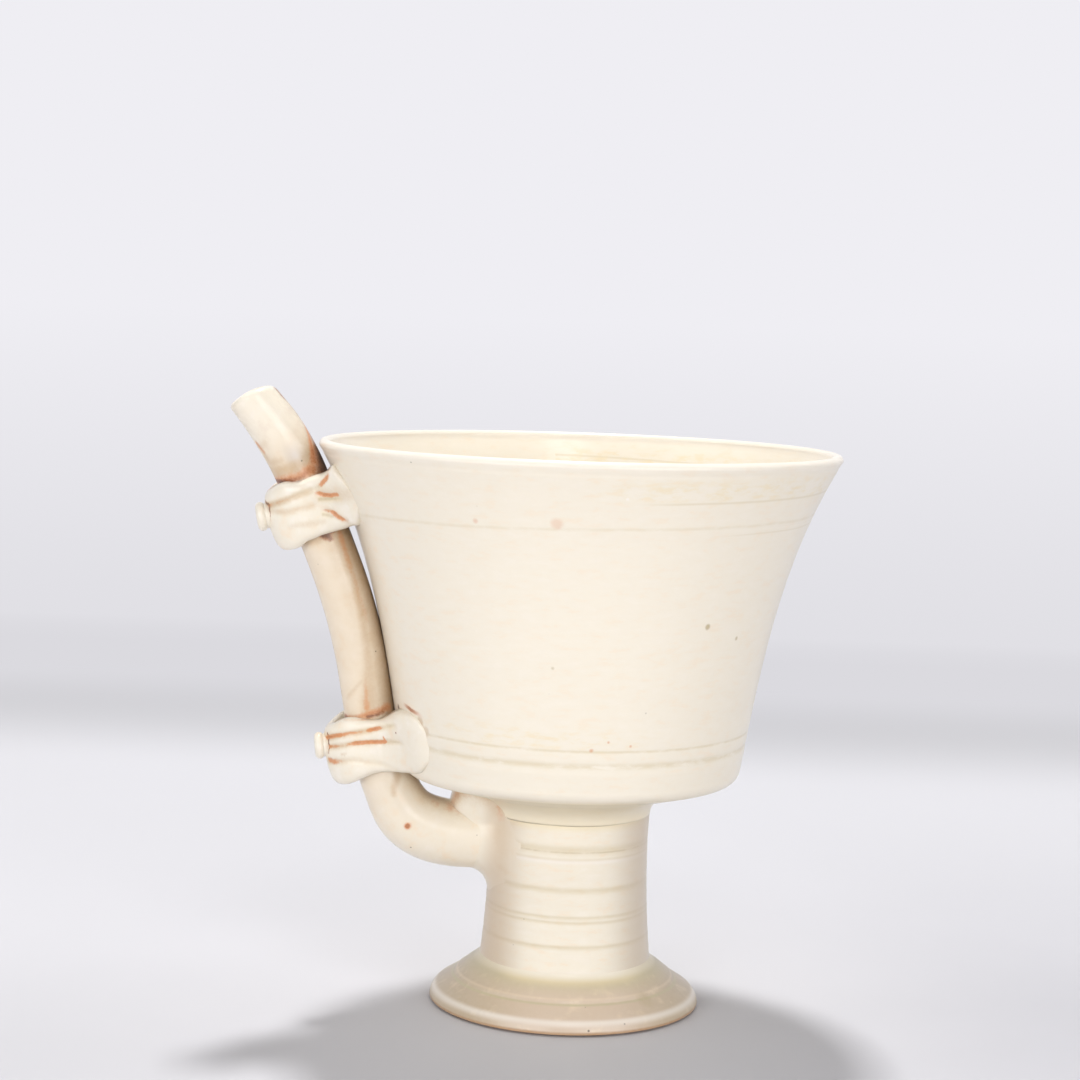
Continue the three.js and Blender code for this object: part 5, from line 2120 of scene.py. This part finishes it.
    def _tube(self) -> Glaze:
        """Warm ivory with brown where the tube faces the bowl and runs under the straps, partly iron stain
        and partly painted shade.
        """
        glaze = GlazeShader("tube_glaze", self.colours).rolled_mottle(0.7, 0.3)
        c, along = self.colours, glaze.amount("along_mm")
        plain = along.rise(12.0, 36.0) * along.rise(101.0, 92.0)
        glaze.stain((0.2 + 0.4 * glaze.cloud) * (0.3 + 0.7 * plain), c.blush)
        glaze.stain((0.1 + 0.25 * glaze.mottle) * plain, c.tan)
        glaze.stain(glaze.mottle.rise(0.5, 0.7) * along.rise(92.0, 100.0) * 0.3, c.ash)
        glaze.stain(along.bell(91.7, 4.4) * glaze.amount("turn").bell(0.73, 0.1) * 0.7, c.ash)
        glaze.strokes()
        glaze.pinholes(4.0, 0.18, 0.6)
        return glaze.finish()

    def _collar(self) -> Glaze:
        """Ivory with an orange bloom where the collar meets the bowl, and the stem's painted side shade where
        it joins the stem.
        """
        glaze = GlazeShader("collar_glaze", self.colours).rolled_mottle(0.5, 0.25)
        # Painted shade like the stem's, faded in towards the stem: darker towards ±X and tan on the -X side.
        joined = glaze.x.rise(-18.6, -13.4)
        glaze.stain(abs(glaze.x + 1.5).rise(7.0, 15.5) * joined * 0.75, self.colours.shade)
        glaze.stain(glaze.x.rise(-9.0, -15.5) * joined * 0.4, self.colours.tan)
        glaze.strokes()
        glaze.pinholes(5.0, 0.18, 0.5)
        return glaze.finish()

    def _strap(self) -> Glaze:
        """Ivory with iron in the creases."""
        glaze = GlazeShader("strap_glaze", self.colours).rolled_mottle(0.7, 0.4)
        c = self.colours
        glaze.stain(glaze.amount("pool").rise(0.05, 0.9) * 0.5, c.buttery)
        glaze.strokes()
        rough = (glaze.mottle - 0.5) * 0.6 + (glaze.fine - 0.5) * 0.7
        crease = glaze.amount("crease")
        rusty = crease + rough * crease.rise(0.05, 0.4)
        glaze.stain(rusty.rise(0.15, 0.7) * 0.9, c.orange)
        glaze.stain(rusty.rise(0.75, 1.2) * 0.7, c.rust)
        glaze.pinholes(6.0, 0.18, 0.4)
        return glaze.finish()


def dress(piece: Piece, node: str) -> None:
    """Puts a finished piece in a CAD node's place and reports it.

    Args:
        piece: The piece.
        node: The CAD node's name.
    """
    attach(piece, BODY)
    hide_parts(node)
    LOG.info("%s stands for %s: %d faces", piece.name, node, len(piece.data.polygons))


def main() -> None:
    """Builds the cup, its glazes, the studio and the camera."""
    logging.basicConfig(level=logging.INFO, format="%(name)s: %(message)s")
    bpy.context.scene.view_settings.view_transform = "Standard"
    CameraView().build()
    levels = Levels.from_frame()
    trees = GeometryTrees()
    foot, stem, bowl = Foot(levels), Stem(levels), Bowl(levels)
    tube = DrinkingTube(bowl, stem)
    glazes = CupGlazes(bowl, stem)
    lower = Strap("lower_strap", tube, tube.lower_z, LOWER_STRAP)
    upper = Strap("upper_strap", tube, tube.upper_z, UPPER_STRAP)
    dress(foot.build(trees, glazes.foot), "foot")
    dress(stem.build(trees, glazes.stem, tube.root_z), "stem")
    dress(bowl.build(trees, glazes.bowl), "bowl")
    dress(tube.build(trees, glazes.tube, TUBE_STROKES), "drinking_tube")
    dress(RootCollar(tube).build(glazes.collar, COLLAR_STROKES), "tube_root_collar")
    for strap in (lower, upper):
        dress(strap.build(glazes.strap), strap.name)
        dress(strap.button(trees, glazes.strap), strap.name + "_button")
    Studio().build()


if __name__ == "__main__":
    main()
